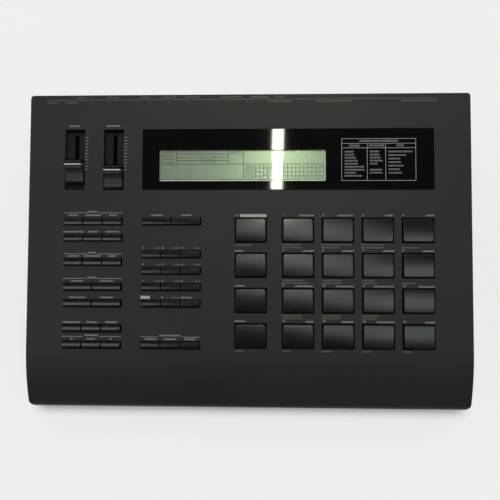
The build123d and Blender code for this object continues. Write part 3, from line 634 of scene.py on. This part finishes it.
def rolled_steel(name, shades, rough, length=20, width=0.3):
    """Sheet steel whose rolling lines run along X: bright and dark threads, long and thin."""
    material, tree, shader = new_material(name, Metallic=1.0)
    place = add_node(tree, "ShaderNodeTexCoord").outputs["Object"]
    drawn = add_node(tree, "ShaderNodeMapping",
                     {"Scale": (1 / (length * MM), 1 / (width * MM), 1 / (width * MM))},
                     {"Vector": place}).outputs["Vector"]
    threads = noise(tree, drawn, 1.0, 3.0)
    tree.links.new(two_shades(tree, threads, WHOLE, shades), shader.inputs["Base Color"])
    tree.links.new(stretch(tree, threads, WHOLE, rough), shader.inputs["Roughness"])
    return material


# Tin-plated steel of frames and levers: grey-white, with the faint lines of the rolling mill.
plated_steel = rolled_steel("tin_plated_rolled_steel", ("8f8e8a", "b9b8b4"), (0.28, 0.42))
print("inks and steel:", white_ink.name, dim_ink.name, line_foil.name, plated_steel.name)

# %% The inlay and the beads
LINE_REAR, LINE_FRONT = 0.2, -0.95
LINE_LEFT, LINE_RIGHT = -7.2, 8.05
LINE_TOP = RIDGE + 0.03
LINE_SUNK, SIDE_LEAN = 0.3, 0.6
inlay = block("inlay", LINE_LEFT, LINE_RIGHT, LINE_FRONT, LINE_REAR, RIDGE - LINE_SUNK, LINE_TOP)
point = block("point", LINE_RIGHT - LINE_SUNK, LINE_RIGHT, LINE_FRONT - 0.2, LINE_REAR, 0.0,
              LINE_TOP)
edit(point)
pick("VERT", lambda v: v.co.z < NEAR)
bpy.ops.transform.translate(value=mm(SIDE_LEAN, 0))
pick("VERT", lambda v: v.co.z < NEAR and v.co.y < 0)
bpy.ops.transform.translate(value=mm(0, LINE_REAR - LINE_FRONT))
bpy.ops.object.mode_set(mode="OBJECT")
for foil in (inlay, point):
    coat(foil, line_foil)

BEAD_END, BEAD_SUNK, BEAD_RISE, BEAD_EDGE = 7.5, 0.3, 0.25, 0.15
beads = []
for y, z, half in ((2.75, 7.35, 0.25), (-2.4, 6.4, 0.4)):
    bead = block("bead", -BEAD_END, BEAD_END, y - half, y + half, z - BEAD_SUNK, z + BEAD_RISE)
    round_edges(bead, BEAD_EDGE, 2, lambda edge: at_level(edge, z + BEAD_RISE))
    # The beads are coloured lighter than the cap: a painted highlight.
    coat(bead, bead_painted_highlight)
    beads.append(bead)
print("an inlay of", round(LINE_RIGHT - LINE_LEFT, 1), "mm and", len(beads), "beads")

# %% The lever, and one piece of it all
LEVER_HALF_WIDTH, LEVER_HALF_LENGTH = 0.6, 2.0
LEVER_TOP, LEVER_FOOT, CARRIAGE_FOOT = -0.5, -9.3, -12.5
CARRIAGE_GROWTH = (5.4 / 1.2, 8.0 / 4.0, 1)
BACK_SLOPE = 0.3
lever = block("lever", -LEVER_HALF_WIDTH, LEVER_HALF_WIDTH, -LEVER_HALF_LENGTH,
              LEVER_HALF_LENGTH, LEVER_FOOT, LEVER_TOP)
flare(lever, LEVER_FOOT, CARRIAGE_GROWTH, CARRIAGE_FOOT)
coat(lever, plated_steel)
coat(cap_start, cap_abs, black_and_painted_shade)
# Faces on the slope behind the ridge get the near-black finish: a painted shade.
for face in cap_start.data.polygons:
    face.material_index = 1 if face.normal.y > BACK_SLOPE else 0
only(cap_start, inlay, point, *beads, lever)
bpy.ops.object.join()
print("the cap's finishes:", [finish.name for finish in cap_start.data.materials])

# %% Two sliders
SLIDERS = {"left_slider": (-160.2, -66.1), "right_slider": (-124.1, -71.4)}
for name, (x, y) in SLIDERS.items():
    dress(twin(cap_start, f"{name}_cap"), name, replaced=(name,), slot="slider_plastic",
          smooth=40, place=PANEL @ Matrix.Translation(mm(x, y)))
bpy.data.objects.remove(cap_start)
print("the left slider rests", round(SLIDERS["left_slider"][1] - SLIDERS["right_slider"][1], 1),
      "mm above its lowest place")

# %% [markdown]
# ## The display's window
#
# The window is one sheet of acrylic, printed black on its underside except over the display. It
# is made as two bodies in one piece: a black plate with a hole, and the clear pane that fills
# the hole. The hole is opened as by hand: the plate is cut along its four sides, the middle faces
# go, and the two rims that are left are bridged.

# %% The acrylic
# Acrylic sheet, printed black behind: deep black with a mirror's gloss and a faint waviness.
window_black = moulded("black_printed_acrylic", ("080807", "0b0b0a"), 40, 25, 0.01, (0.03, 0.045),
                       IOR=1.49)
# The clear part: what is behind it shows through, and only its own gloss is added.
pane_clear, tree, shader = new_material("clear_acrylic", Roughness=0.03, IOR=1.49, Alpha=0.05)
place = add_node(tree, "ShaderNodeTexCoord").outputs["Object"]
dust = noise(tree, place, 300.0, 6.0)
tree.links.new(stretch(tree, dust, (0.55, 0.8), (0.045, 0.055)), shader.inputs["Alpha"])
print("the window is made of", window_black.name, "and", pane_clear.name)

# %% The black plate and the pane
WINDOW = (-97.1, 169.2, -88.9, -32.9)
SIGHT = (-81.6, 71.25, -80.9, -52.1)
WINDOW_FOOT, WINDOW_TOP = -2.1, -0.1
WINDOW_CORNER, SIGHT_CORNER = 0.5, 1.2


def over_sight(part):
    """Tells whether the middle of a face is over the display."""
    middle = part.calc_center_median() / MM
    return SIGHT[0] < middle.x < SIGHT[1] and SIGHT[2] < middle.y < SIGHT[3]


def by_sight(edge):
    """Tells whether an edge stands at a corner of the hole."""
    x, y, _ = edge.verts[0].co / MM
    off_x, off_y = min(abs(x - s) for s in SIGHT[:2]), min(abs(y - s) for s in SIGHT[2:])
    return upright(edge) and max(off_x, off_y) * MM < NEAR


plate = block("display_window_plate", *WINDOW, WINDOW_FOOT, WINDOW_TOP)
round_edges(plate, WINDOW_CORNER, 3, upright)
edit(plate)
slice_at(0, SIGHT[:2])
slice_at(1, SIGHT[2:])
pick("FACE", over_sight)
bpy.ops.mesh.delete(type="FACE")
pick("EDGE", lambda edge: edge.is_boundary)
bpy.ops.mesh.bridge_edge_loops()
bpy.ops.object.mode_set(mode="OBJECT")
corners = round_edges(plate, SIGHT_CORNER, 4, by_sight)
coat(plate, window_black)
pane = block("pane", *SIGHT, WINDOW_FOOT, WINDOW_TOP)
round_edges(pane, SIGHT_CORNER, 4, upright)
coat(pane, pane_clear)
only(plate, pane)
bpy.ops.object.join()
dress(plate, "case", replaced=("display_window",), slot="window_acrylic", smooth=30)
print("the hole has", corners, "rounded corners")

# %% [markdown]
# ## The display
#
# Under the pane lies the liquid-crystal glass. It has a metallised film behind it that throws
# light back in a soft greenish lobe, which is why the place under a lamp glows and the rest
# stays grey. Its front glass mirrors the lamp as well, so the finish has a clear coat.

# %% The display's finish
# A transflective display: greenish grey, half metal, rough beneath, with a smooth glass on top.
lcd_glow = moulded("transflective_display", ("7a8f72", "7e9376"), 30, 0.3, 0.001, (0.25, 0.28),
                   Metallic=0.55, Coat_Weight=1.0, Coat_Roughness=0.02, Coat_IOR=1.5)
# The segments of a display that is switched off: barely darker than the film behind them.
segment_grey = moulded("display_segment_mask", ("171d17", "1b211b"), 5, 0.3, 0.001, (0.6, 0.7),
                       Specular_IOR_Level=0.05)
print("the display's finish is", lcd_glow.name)

# %% [markdown]
# ## Stamping flat marks
#
# All printing and all the display's segments are flat marks a few hundredths of a millimetre
# high. A stamp, one thin closed tile, is modelled once, and each mark is a copy of it, squeezed
# to its place. Words are printed as rows of small boxes that only suggest letters, and numbers
# are real numbers.

# %% The stamp
stamp = block("stamp", -0.5, 0.5, -0.5, 0.5, 0, 1)
stamp_mesh = stamp.data
bpy.data.objects.remove(stamp)


def stamped(name, marks, base, finish, slot, rise=0.02):
    """Lays flat marks on the case, each given by its middle, width and height in millimetres."""
    mesh = bmesh.new()
    for x, y, width, height in marks:
        first = len(mesh.verts)
        mesh.from_mesh(stamp_mesh)
        mesh.verts.ensure_lookup_table()
        for vert in mesh.verts[first:]:
            u, v, w = vert.co / MM
            vert.co = mm(x + u * width, y + v * height, base + w * rise)
    piece = bpy.data.objects.new(name, bpy.data.meshes.new(name))
    mesh.to_mesh(piece.data)
    mesh.free()
    bpy.context.scene.collection.objects.link(piece)
    return dress(piece, "case", finish, slot=slot, smooth=0)


def frame_lines(x0, x1, y0, y1, thick):
    """Four thin marks inside the sides of a box."""
    x, y, half = (x0 + x1) / 2, (y0 + y1) / 2, thick / 2
    wide, deep = x1 - x0, y1 - y0 - 2 * thick
    return [(x, y0 + half, wide, thick), (x, y1 - half, wide, thick),
            (x0 + half, y, thick, deep), (x1 - half, y, thick, deep)]


LETTERS = (0.9, 0.6, 1.0, 0.8, 0.45, 0.95, 0.75)
LETTER_SPACE = 0.24


def word(x, y, width, height, weight=0.17):
    """Small boxes in a row that suggest a word of a width and height, around its middle."""
    strokes, at, place = [], 0.0, 0
    space, stroke = LETTER_SPACE * height, weight * height
    while at < width:
        letter = min(LETTERS[place % len(LETTERS)] * height, width - at)
        left = x - width / 2 + at
        if letter > 2 * stroke:
            strokes += frame_lines(left, left + letter, y - height / 2, y + height / 2, stroke)
        elif letter > stroke / 2:
            strokes.append((left + letter / 2, y, letter, height))
        at += letter + space
        place += 1
    return strokes


print("a word 8 mm wide and 1.2 mm high has", len(word(0, 0, 8, 1.2)), "strokes")

# %% [markdown]
# ## What the display shows
#
# The display is off, and its fixed marks are seen faintly against the film: boxes for words and
# values on the left, and a grid of steps on the right.

# %% Segments
LCD_TOP = -2.4
THIN = 0.5
LEFT, DIVIDE, RIGHT = -81.5, -4.15, 69.8
REAR, MIDDLE, FOOT = -51.3, -64.8, -79.1
BOX_LEFT, BOX_RIGHT, SPLIT = -66.2, -18.0, -58.3
GRID_START, STEP_WIDTH, STEP_DEPTH = 7.25, 3.68, 3.7
FINE = 0.13


def across(x0, x1, y):
    """A thin line from left to right."""
    return ((x0 + x1) / 2, y, x1 - x0, THIN)


def along(x, y0, y1):
    """A thin line from rear to front."""
    return (x, (y0 + y1) / 2, THIN, y0 - y1)


lines = [across(BOX_LEFT, DIVIDE, -55.5), across(BOX_LEFT, BOX_RIGHT, SPLIT),
         across(BOX_LEFT, BOX_RIGHT, -61.4), across(LEFT, RIGHT, MIDDLE), across(LEFT, RIGHT, FOOT),
         along(BOX_LEFT, REAR, MIDDLE), along(BOX_RIGHT, REAR, MIDDLE), along(DIVIDE, REAR, FOOT),
         along(-43.2, SPLIT, MIDDLE), along(-30.4, SPLIT, MIDDLE)]
lines += [along(GRID_START + STEP_WIDTH * i, MIDDLE, FOOT) for i in range(18)]
lines += [across(DIVIDE, RIGHT, MIDDLE - STEP_DEPTH * i) for i in (1, 2, 3)]
names = word(-36.7, -60.6, 8.5, 1.5, FINE) + word(-36.7, -63.1, 8.5, 1.5, FINE)
names += word(-10.8, -53.7, 9.0, 1.5, FINE)
for i in range(4):
    names += word(-73.6, -53.7 - 3.15 * i, 11.0, 1.6, FINE)
    names += word(1.7, -66.7 - 3.65 * i, 7.5, 1.5, FINE)
segments = stamped("display_segments", lines + names, LCD_TOP, segment_grey, "lcd_glass")
print(len(segments.data.polygons) // 6, "segments")

# %% Painted shadow and painted highlight at the display's edges
# A darker border along the rear and the left is a painted shadow: the shade of the window's rim.
SHADOW_RISE = 0.03
rim_shadow_grey = moulded("painted_shadow_of_window_rim", ("4c564c", "525c52"), 8, 0.3, 0.001, (0.6, 0.7),
                    Specular_IOR_Level=0.2)
rim_shadow = stamped("display_painted_rim_shadow", [(-5.2, -51.9, 153.8, 1.2), (-81.5, -66.3, 1.0, 27.6)],
               LCD_TOP, rim_shadow_grey, "lcd_glass", SHADOW_RISE)
# A fine bright line along the front and the right edge of the film is a painted highlight.
film_highlight_finish = moulded("painted_highlight_on_film_edge", ("b4c2ac", "c2cfba"), 8, 0.3, 0.001, (0.3, 0.4))
film_edge = stamped("display_film_edge_highlight", [(-5.2, -80.05, 153.0, 0.6), (71.0, -66.2, 0.6, 27.1)],
                    LCD_TOP, film_highlight_finish, "lcd_glass")
print("the film's edges are", len(rim_shadow.data.polygons) // 6 + len(film_edge.data.polygons) // 6,
      "marks")

# %% [markdown]
# ## Printing on the panel
#
# The case is screen-printed in two greys. Small words stand over each key and pad, thin lines
# tie the keys of a group together, and the slider scales have eleven marks, three millimetres
# apart. Each row below is a height on the panel, and then the middle and the width of every word
# that stands at that height.

# %% Words and lines
LETTER = 1.25


def in_rows(*rows):
    """The middle and the width of each word, from rows of a height and pairs of x and width."""
    return [(x, y, width) for y, *pairs in rows for x, width in zip(pairs[::2], pairs[1::2])]


left_words = in_rows(
    (-112.4, -160.6, 9, -142.3, 14.2, -124.2, 6.8),
    (-127.7, -160.6, 18.5, -142.4, 8.8, -124.1, 12.8), (-150.1, -160.6, 11.3),
    (-150, -142.8, 14.7, -124.7, 6.6), (-173, -156.5, 10.8, -129.3, 11.8),
    (-188, -155.8, 15.1), (-187.9, -129.1, 11.8), (-210.6, -161, 15.5, -142.4, 9.9),
    (-210.4, -124.5, 10.8), (-225.7, -143.1, 8), (-109.2, -143, 9.3), (-147, -143, 7.1),
    (-169.8, -142.8, 8.6), (-222.4, -142.4, 13.2))
middle_words = in_rows(
    (-112.4, -83.4, 10.8, -56.4, 9.4), (-187.7, -55.6, 10), (-222.2, -70.4, 18.9),
    (-225.6, -87.8, 10.7), (-225.5, -70.2, 10.9, -51.8, 10.1))
control_words = in_rows(
    (-112.6, -9.9, 2.1), (-145.1, -7.8, 7.3), (-176.8, -6.8, 8.8), (-208.8, -6.2, 9.8))
pad_words = in_rows(
    (-112.6, 53.4, 13.4, 89, 14.1, 128.2, 6.9, 164.9, 7),
    (-145, 55, 9.5, 90.9, 10, 127.4, 9.6, 163.3, 10.2),
    (-177, 51.2, 16.1, 88, 15.5, 123.2, 17.7, 161.6, 14.2),
    (-209, 56.2, 7, 90.4, 10.3, 124.5, 15.8, 164.1, 8.6))
slider_words = in_rows((-29.4, -161.1, 9.3, -124.8, 12.5))
group_lines = in_rows(
    (-110.2, -159.1, 21.2, -125.9, 21.6), (-148, -158.6, 22.3, -126.6, 22.6),
    (-170.6, -159.2, 21.5, -126.3, 22.6),
    (-223.5, -160.1, 19.1, -125.2, 19.3, -89, 15.9, -51.5, 17))
marks = []
for x, y, width in left_words + middle_words + control_words + pad_words + slider_words:
    marks += word(x, y, width, LETTER)
print(len(marks), "strokes on the panel")

# %% Marks in the pale ink
LINE = 0.32
marks += [(x, y, width, LINE) for x, y, width in group_lines]
# The filled bars over the first control pad and over the shift key.
marks += [(5.2, -112.7, 24.1, 2.7), (-93.2, -187.7, 8.6, 2.7)]
# Two arrows over the outer keys of the last group: a stepped head and a short shaft.
for x, way in ((-160.4, -1), (-124.5, 1)):
    marks += [(x + way * (0.2 + 0.35 * i), -225.6, 0.35, 1.5 - 0.45 * i) for i in range(4)]
    marks.append((x - way * 0.8, -225.6, 1.5, 0.4))
for x in (-149.7, -113.1):
    marks += [(x, -40.0 - 3.0 * i, 3.1, LINE) for i in range(11)]
stamped("pale_printing", marks, 0.0, white_ink, "case_plastic")
print(len(marks), "pale marks")

# %% Marks in the dim ink
under_pads = in_rows(
    (-139.3, 39.6, 16.4, 80.4, 27.2, 113.2, 20.3),
    (-141.9, 40.2, 17.6, 75.3, 17, 113.2, 20.3, 147, 15.2),
    (-171.7, 41.7, 20, 76.4, 17.7, 109.6, 12),
    (-174.1, 43.4, 23.5, 76.4, 17.9, 110.4, 13.6, 145.8, 12.6),
    (-203.6, 40.2, 17.5, 76, 17.1, 111.1, 15.4), (-206, 41, 18.4, 76.2, 17, 110, 13.3),
    (-235.4, 35.4, 7.2, 71.9, 8.7, 107.6, 7.7, 143.7, 7), (-139.8, -3.8, 15.1),
    (-235.6, -6.7, 8.6))
by_digits = in_rows(
    (-142.6, -82.6, 5.2, -65.2, 7.1, -46, 5.1), (-157.8, -81.9, 3.8, -64.6, 6.1, -46.2, 5.8),
    (-172.9, -82.6, 4.9, -64.2, 5.1, -45.6, 4.7), (-187.8, -72.9, 1, -66, 8.4))
rear_words = in_rows(
    (-2.9, -155.8, 7.7, -125.5, 10.6, -95.4, 9.1, -73.4, 12.3, -51.3, 14),
    (-2.9, -15.2, 18.7, 10.8, 16.9, 29.4, 8.5),
    (-7.2, -182, 10.9, -163.7, 12, -145.6, 1.1, 29.1, 21.4, 79.2, 32.1, 156, 32.8))
SMALL_LETTER = 1.05
marks = [(-7.5, -5.0, 360.0, LINE)]
for x, y, width in under_pads + by_digits + rear_words:
    marks += word(x, y, width, SMALL_LETTER)
stamped("dim_printing", marks, 0.0, dim_ink, "case_plastic")
print(len(marks), "dim marks")

# %% [markdown]
# ## Numbers
#
# Numbers are real: one to sixteen over the drum pads, the ten digits over the middle keys, and
# one to eight along the rear edge. Each is a text object, made a mesh before it is laid on the
# panel, and all of one ink are joined.

# %% Numbers as meshes
BOLDER, HALF_THICK = 0.05, 0.01


def numbers(name, entries, size, finish):
    """Lays numbers on the case, each with its text and the left end of its baseline."""
    pieces = []
    for text, x, y in entries:
        bpy.ops.object.text_add(location=mm(x, y, HALF_THICK))
        piece = bpy.context.object
        piece.data.body = text
        piece.data.size = size * MM
        piece.data.offset = BOLDER * MM
        piece.data.extrude = HALF_THICK * MM
        only(piece)
        bpy.ops.object.convert(target="MESH")
        pieces.append(bpy.context.object)
    only(*pieces)
    bpy.ops.object.join()
    piece = bpy.context.object
    piece.name = name
    edit(piece)
    bpy.ops.mesh.select_all(action="SELECT")
    bpy.ops.mesh.remove_doubles(threshold=0.001 * MM)
    bpy.ops.mesh.normals_make_consistent(inside=False)
    bpy.ops.object.mode_set(mode="OBJECT")
    dress(piece, "case", finish, slot="case_plastic", smooth=0)


DIGIT, SMALL_DIGIT = 2.4, 1.7
pad_digits = [(str(4 * row + column + 1), DRUM_X + DRUM_PITCH * column - 14.0,
               PAD_ROW - PAD_ROW_PITCH * row + 12.9) for row in range(4) for column in range(4)]
key_digits = [(digit, MIDDLE_X + KEY_PITCH * (i % 3 - 1) - 8.4, -143.3 - 15.1 * (i // 3))
              for i, digit in enumerate("789456123")] + [("0", -78.2, -188.5)]
numbers("panel_numbers", pad_digits + key_digits, DIGIT, white_ink)
rear_digits = [(str(i + 1), -128.3 + 18.1 * i, -7.8) for i in range(8)]
numbers("rear_numbers", rear_digits, SMALL_DIGIT, dim_ink)
print(len(pad_digits) + len(key_digits) + len(rear_digits), "numbers")

# %% [markdown]
# ## A table on the window
#
# To the right of the display a small table is printed on the acrylic: a frame, two header rows
# and three columns of short lines.

# %% Table marks
TABLE = (85.6, 153.0, -80.8, -42.0)
# The height of a word and the weight of its strokes, in a header and in an entry.
HEADER, ENTRY, FIRST_ENTRY = (1.4, 0.14), (1.25, 0.12), -54.1
marks = frame_lines(*TABLE, LINE)
marks += [(119.3, -46.5, 67.4, LINE), (119.3, -50.6, 67.4, LINE),
          (109.0, -63.7, LINE, 34.2), (125.6, -63.7, LINE, 34.2)]
for x, y, width in ((119.4, -44.2, 34.8), (97.3, -48.5, 10.0), (117.4, -48.5, 13.5),
                    (138.8, -48.5, 6.5)):
    marks += word(x, y, width, *HEADER)
columns = ((88.4, 2.78, (8, 9, 10, 11.6, 11.8, 17.6, 18, 10, 15.6)),
           (111.3, 2.78, (8.1, 9, 9.6, 11.6, 7, 0, 10.9, 11.2)),
           (128.2, 3.25, (21.9, 15.8, 10.5, 11.3, 13.5, 10.1, 11.6)))
for x, pitch, widths in columns:
    for row, width in enumerate(widths):
        if width:
            marks += word(x + width / 2, FIRST_ENTRY - pitch * row, width, *ENTRY)
stamped("window_printing", marks, WINDOW_TOP, window_ink, "window_acrylic")
print(len(marks), "marks in the table")

# %% [markdown]
# ## The rest of the machine
#
# The rear panel, the sockets and everything inside keep their solids, whose shapes are right,
# and get the finish of the real thing: powder-coated sheet, nickel-plated nuts, black zinc
# screws, moulded nylon, green solder mask and soft rubber.

# %% Finishes for the solids
# Powder coat is sprayed as dust and baked: it flows into a fine orange peel with soft glints.
powder = moulded("black_powder_coated_steel", ("0d0d0d", "131312"), 30, 1.1, 0.03, (0.38, 0.5))
# Nickel plate over turned brass: warm grey-white and bright.
nickel = rolled_steel("nickel_plated_brass", ("a9a49a", "c9c5bb"), (0.14, 0.24), 2, 0.15)
# Black zinc on screws: a dark metal with a hint of brown.
black_zinc = rolled_steel("black_zinc_plated_steel", ("2a2826", "3c3935"), (0.3, 0.45), 1, 0.2)
# Sockets are moulded in glass-filled nylon: black, dull, with fibres that grey the surface.
nylon = moulded("black_glass_filled_nylon", ("101010", "191918"), 8, 0.35, 0.02, (0.45, 0.6))
# Solder mask over copper: a clear green lacquer that lies in waves over the weave of the board.
solder_mask = moulded("green_solder_mask_on_glass_fibre", ("1b5a34", "236b40"), 6, 0.9, 0.01,
                      (0.25, 0.4))
# Switch bodies are a plain black moulding; the slide pots have dull black dust covers.
switch_black = moulded("black_thermoset_switch_body", ("141414", "1c1c1b"), 5, 0.3, 0.01,
                       (0.4, 0.55))
# The sensor sheet is a grey conductive rubber, matt and soft.
sensor_grey = moulded("grey_conductive_rubber", ("6f6f6c", "7c7c78"), 20, 0.6, 0.01, (0.6, 0.75))
# Feet are a black rubber with a bloom of dust.
foot_rubber = moulded("black_moulded_rubber_feet", ("1a1a1a", "262625"), 6, 0.5, 0.03, (0.6, 0.8))
FINISHES = {
    lcd_glow: ("lcd_glass",),
    powder: ("rear_panel", "bottom_plate"),
    nickel: ("jack_nuts",),
    black_zinc: ("screws",),
    nylon: ("jack_sockets", "sync_jacks", "din_sockets", "dc_inlet", "card_sockets"),
    solder_mask: ("main_board", "panel_board"),
    switch_black: ("key_switches", "power_switch"),
    black_and_painted_shade: ("slide_pots",),
    plated_steel: ("lcd_module", "contrast_pot"),
    sensor_grey: ("pad_sheet",),
    foot_rubber: ("feet",),
    key_abs: ("power_button", "contrast_knob"),
}
for finish, names in FINISHES.items():
    for name in names:
        nodes[name].data.materials.clear()
        coat(nodes[name], finish)
print(sum(len(names) for names in FINISHES.values()), "solids keep their shape")

# %% [markdown]
# ## Near the end: the floor and the lights
#
# The machine stands on a plain white floor, lit evenly by a wide sun that no reflection shows.
# What the machine mirrors is soft and lies round the horizon and behind, with little straight
# overhead, so the flat panel is dark and the crowns of the rear pads shine. A narrow strip, made
# of two lamps end to end, hangs over the window and behind it, and five wide boxes hang over and
# beside the keys and pads. They all look straight down and are seen only in reflections.

# %% Floor
bpy.ops.mesh.primitive_plane_add(size=8.0, location=(0, 0, 0))
floor = bpy.context.object
floor.name = "floor"
floor_paper, _, shader = new_material("white_paper", Roughness=0.9, Specular_IOR_Level=0.0)
shader.inputs["Base Color"].default_value = linear("f4f4f2")
coat(floor, floor_paper)

# %% World
world = bpy.data.worlds.new("studio")
bpy.context.scene.world = world
world.use_nodes = True
sky = world.node_tree
direction = add_node(sky, "ShaderNodeTexCoord").outputs["Generated"]
parts = add_node(sky, "ShaderNodeSeparateXYZ", links={"Vector": direction}).outputs
from_above = stretch(sky, parts["Z"], (0.45, 0.8), (1.0, 0.1), interpolation_type="SMOOTHSTEP")
from_rear = stretch(sky, parts["Y"], (-1.0, 1.0), (0.1, 0.5))
glow = add_node(sky, "ShaderNodeMath", links={0: from_above, 1: from_rear}, operation="MULTIPLY")
sky.links.new(glow.outputs["Value"], sky.nodes["Background"].inputs["Strength"])
sky.nodes["Background"].inputs["Color"].default_value = (1, 1, 1, 1)
print("the sky glows most at the horizon behind the machine")

# %% Lamps
LAMP_HEIGHT = 0.7
WHITE, STRIP_TINT, COOL_TINT = (1.0, 1.0, 1.0), (1.0, 1.0, 0.79), (0.9, 1.0, 0.98)
# Each lamp has a name, x and y, width and length in metres, how bright it looks, a tint and a turn.
LAMPS = (
    ("strip_light", 0.035, 0.18, 0.0225, 0.2, 34.5, STRIP_TINT, -1.5),
    ("strip_light_end", 0.0418, 0.44, 0.0225, 0.32, 34.5, STRIP_TINT, -1.5),
    ("left_box", -0.43, -0.2, 0.45, 0.22, 2.6, WHITE, 0),
    ("first_box", -0.026, 0.022, 0.1, 0.108, 2.9, WHITE, 0),
    ("pad_box", 0.078, -0.016, 0.09, 0.156, 3.3, COOL_TINT, -20),
    ("near_box", 0.16, -0.061, 0.11, 0.272, 2.0, COOL_TINT, 0),
    ("far_box", 0.345, -0.165, 0.27, 0.19, 2.45, COOL_TINT, 0),
)


def softbox(name, x, y, width, length, radiance, tint, turn):
    """A flat lamp that looks straight down, turned by some degrees, for reflections only."""
    bpy.ops.object.light_add(type="AREA", location=(x, y, LAMP_HEIGHT))
    lamp = bpy.context.object
    lamp.name = name
    lamp.data.shape = "RECTANGLE"
    lamp.data.size, lamp.data.size_y = width, length
    lamp.data.energy = radiance * math.pi * width * length
    lamp.data.color = tint
    lamp.rotation_euler.z = math.radians(turn)
    lamp.visible_diffuse = False


bpy.ops.object.light_add(type="SUN", location=(0, 0.3, 1))
ceiling = bpy.context.object
ceiling.name = "ceiling_light"
ceiling.data.angle = math.radians(38)
ceiling.data.energy = 2.65
ceiling.rotation_euler = Vector((0.0, -0.2, -1.0)).to_track_quat("-Z", "Y").to_euler()
ceiling.visible_glossy = False
for lamp in LAMPS:
    softbox(*lamp)

# %% [markdown]
# ## Glowing sheets
#
# The dull sheen of the case comes from three wide pale sheets that hang to the left, to the right
# and behind. They aren't lamps: a reflection that reaches one is lit by it, and nothing is aimed at
# it. The renderer then spends its rays on the narrow strip, and the display has less speckle.

# %% Glowing sheets
SHEET_FOOT, SHEET_TOP = 700, 702
# Each sheet has its left, right, front and rear in millimetres, and how bright it looks.
SHEETS = {"rear_glow": (-550, 550, 430, 690, 3.2), "left_glow": (-1000, -700, -400, 500, 2.6),
          "right_glow": (750, 1050, -400, 500, 2.0)}


def glowing_sheet(name, x0, x1, y0, y1, radiance):
    """A sheet over the desk that only reflections see."""
    sheet = block(name, x0, x1, y0, y1, SHEET_FOOT, SHEET_TOP)
    material, _, shader = new_material(name + "_fabric", Emission_Strength=radiance)
    shader.inputs["Emission Color"].default_value = linear("ffffff")
    shader.inputs["Base Color"].default_value = linear("000000")
    material.cycles.emission_sampling = "NONE"
    coat(sheet, material)
    sheet.visible_camera = sheet.visible_diffuse = sheet.visible_shadow = False


for name, sizes in SHEETS.items():
    glowing_sheet(name, *sizes)
print("glowing sheets:", list(SHEETS))
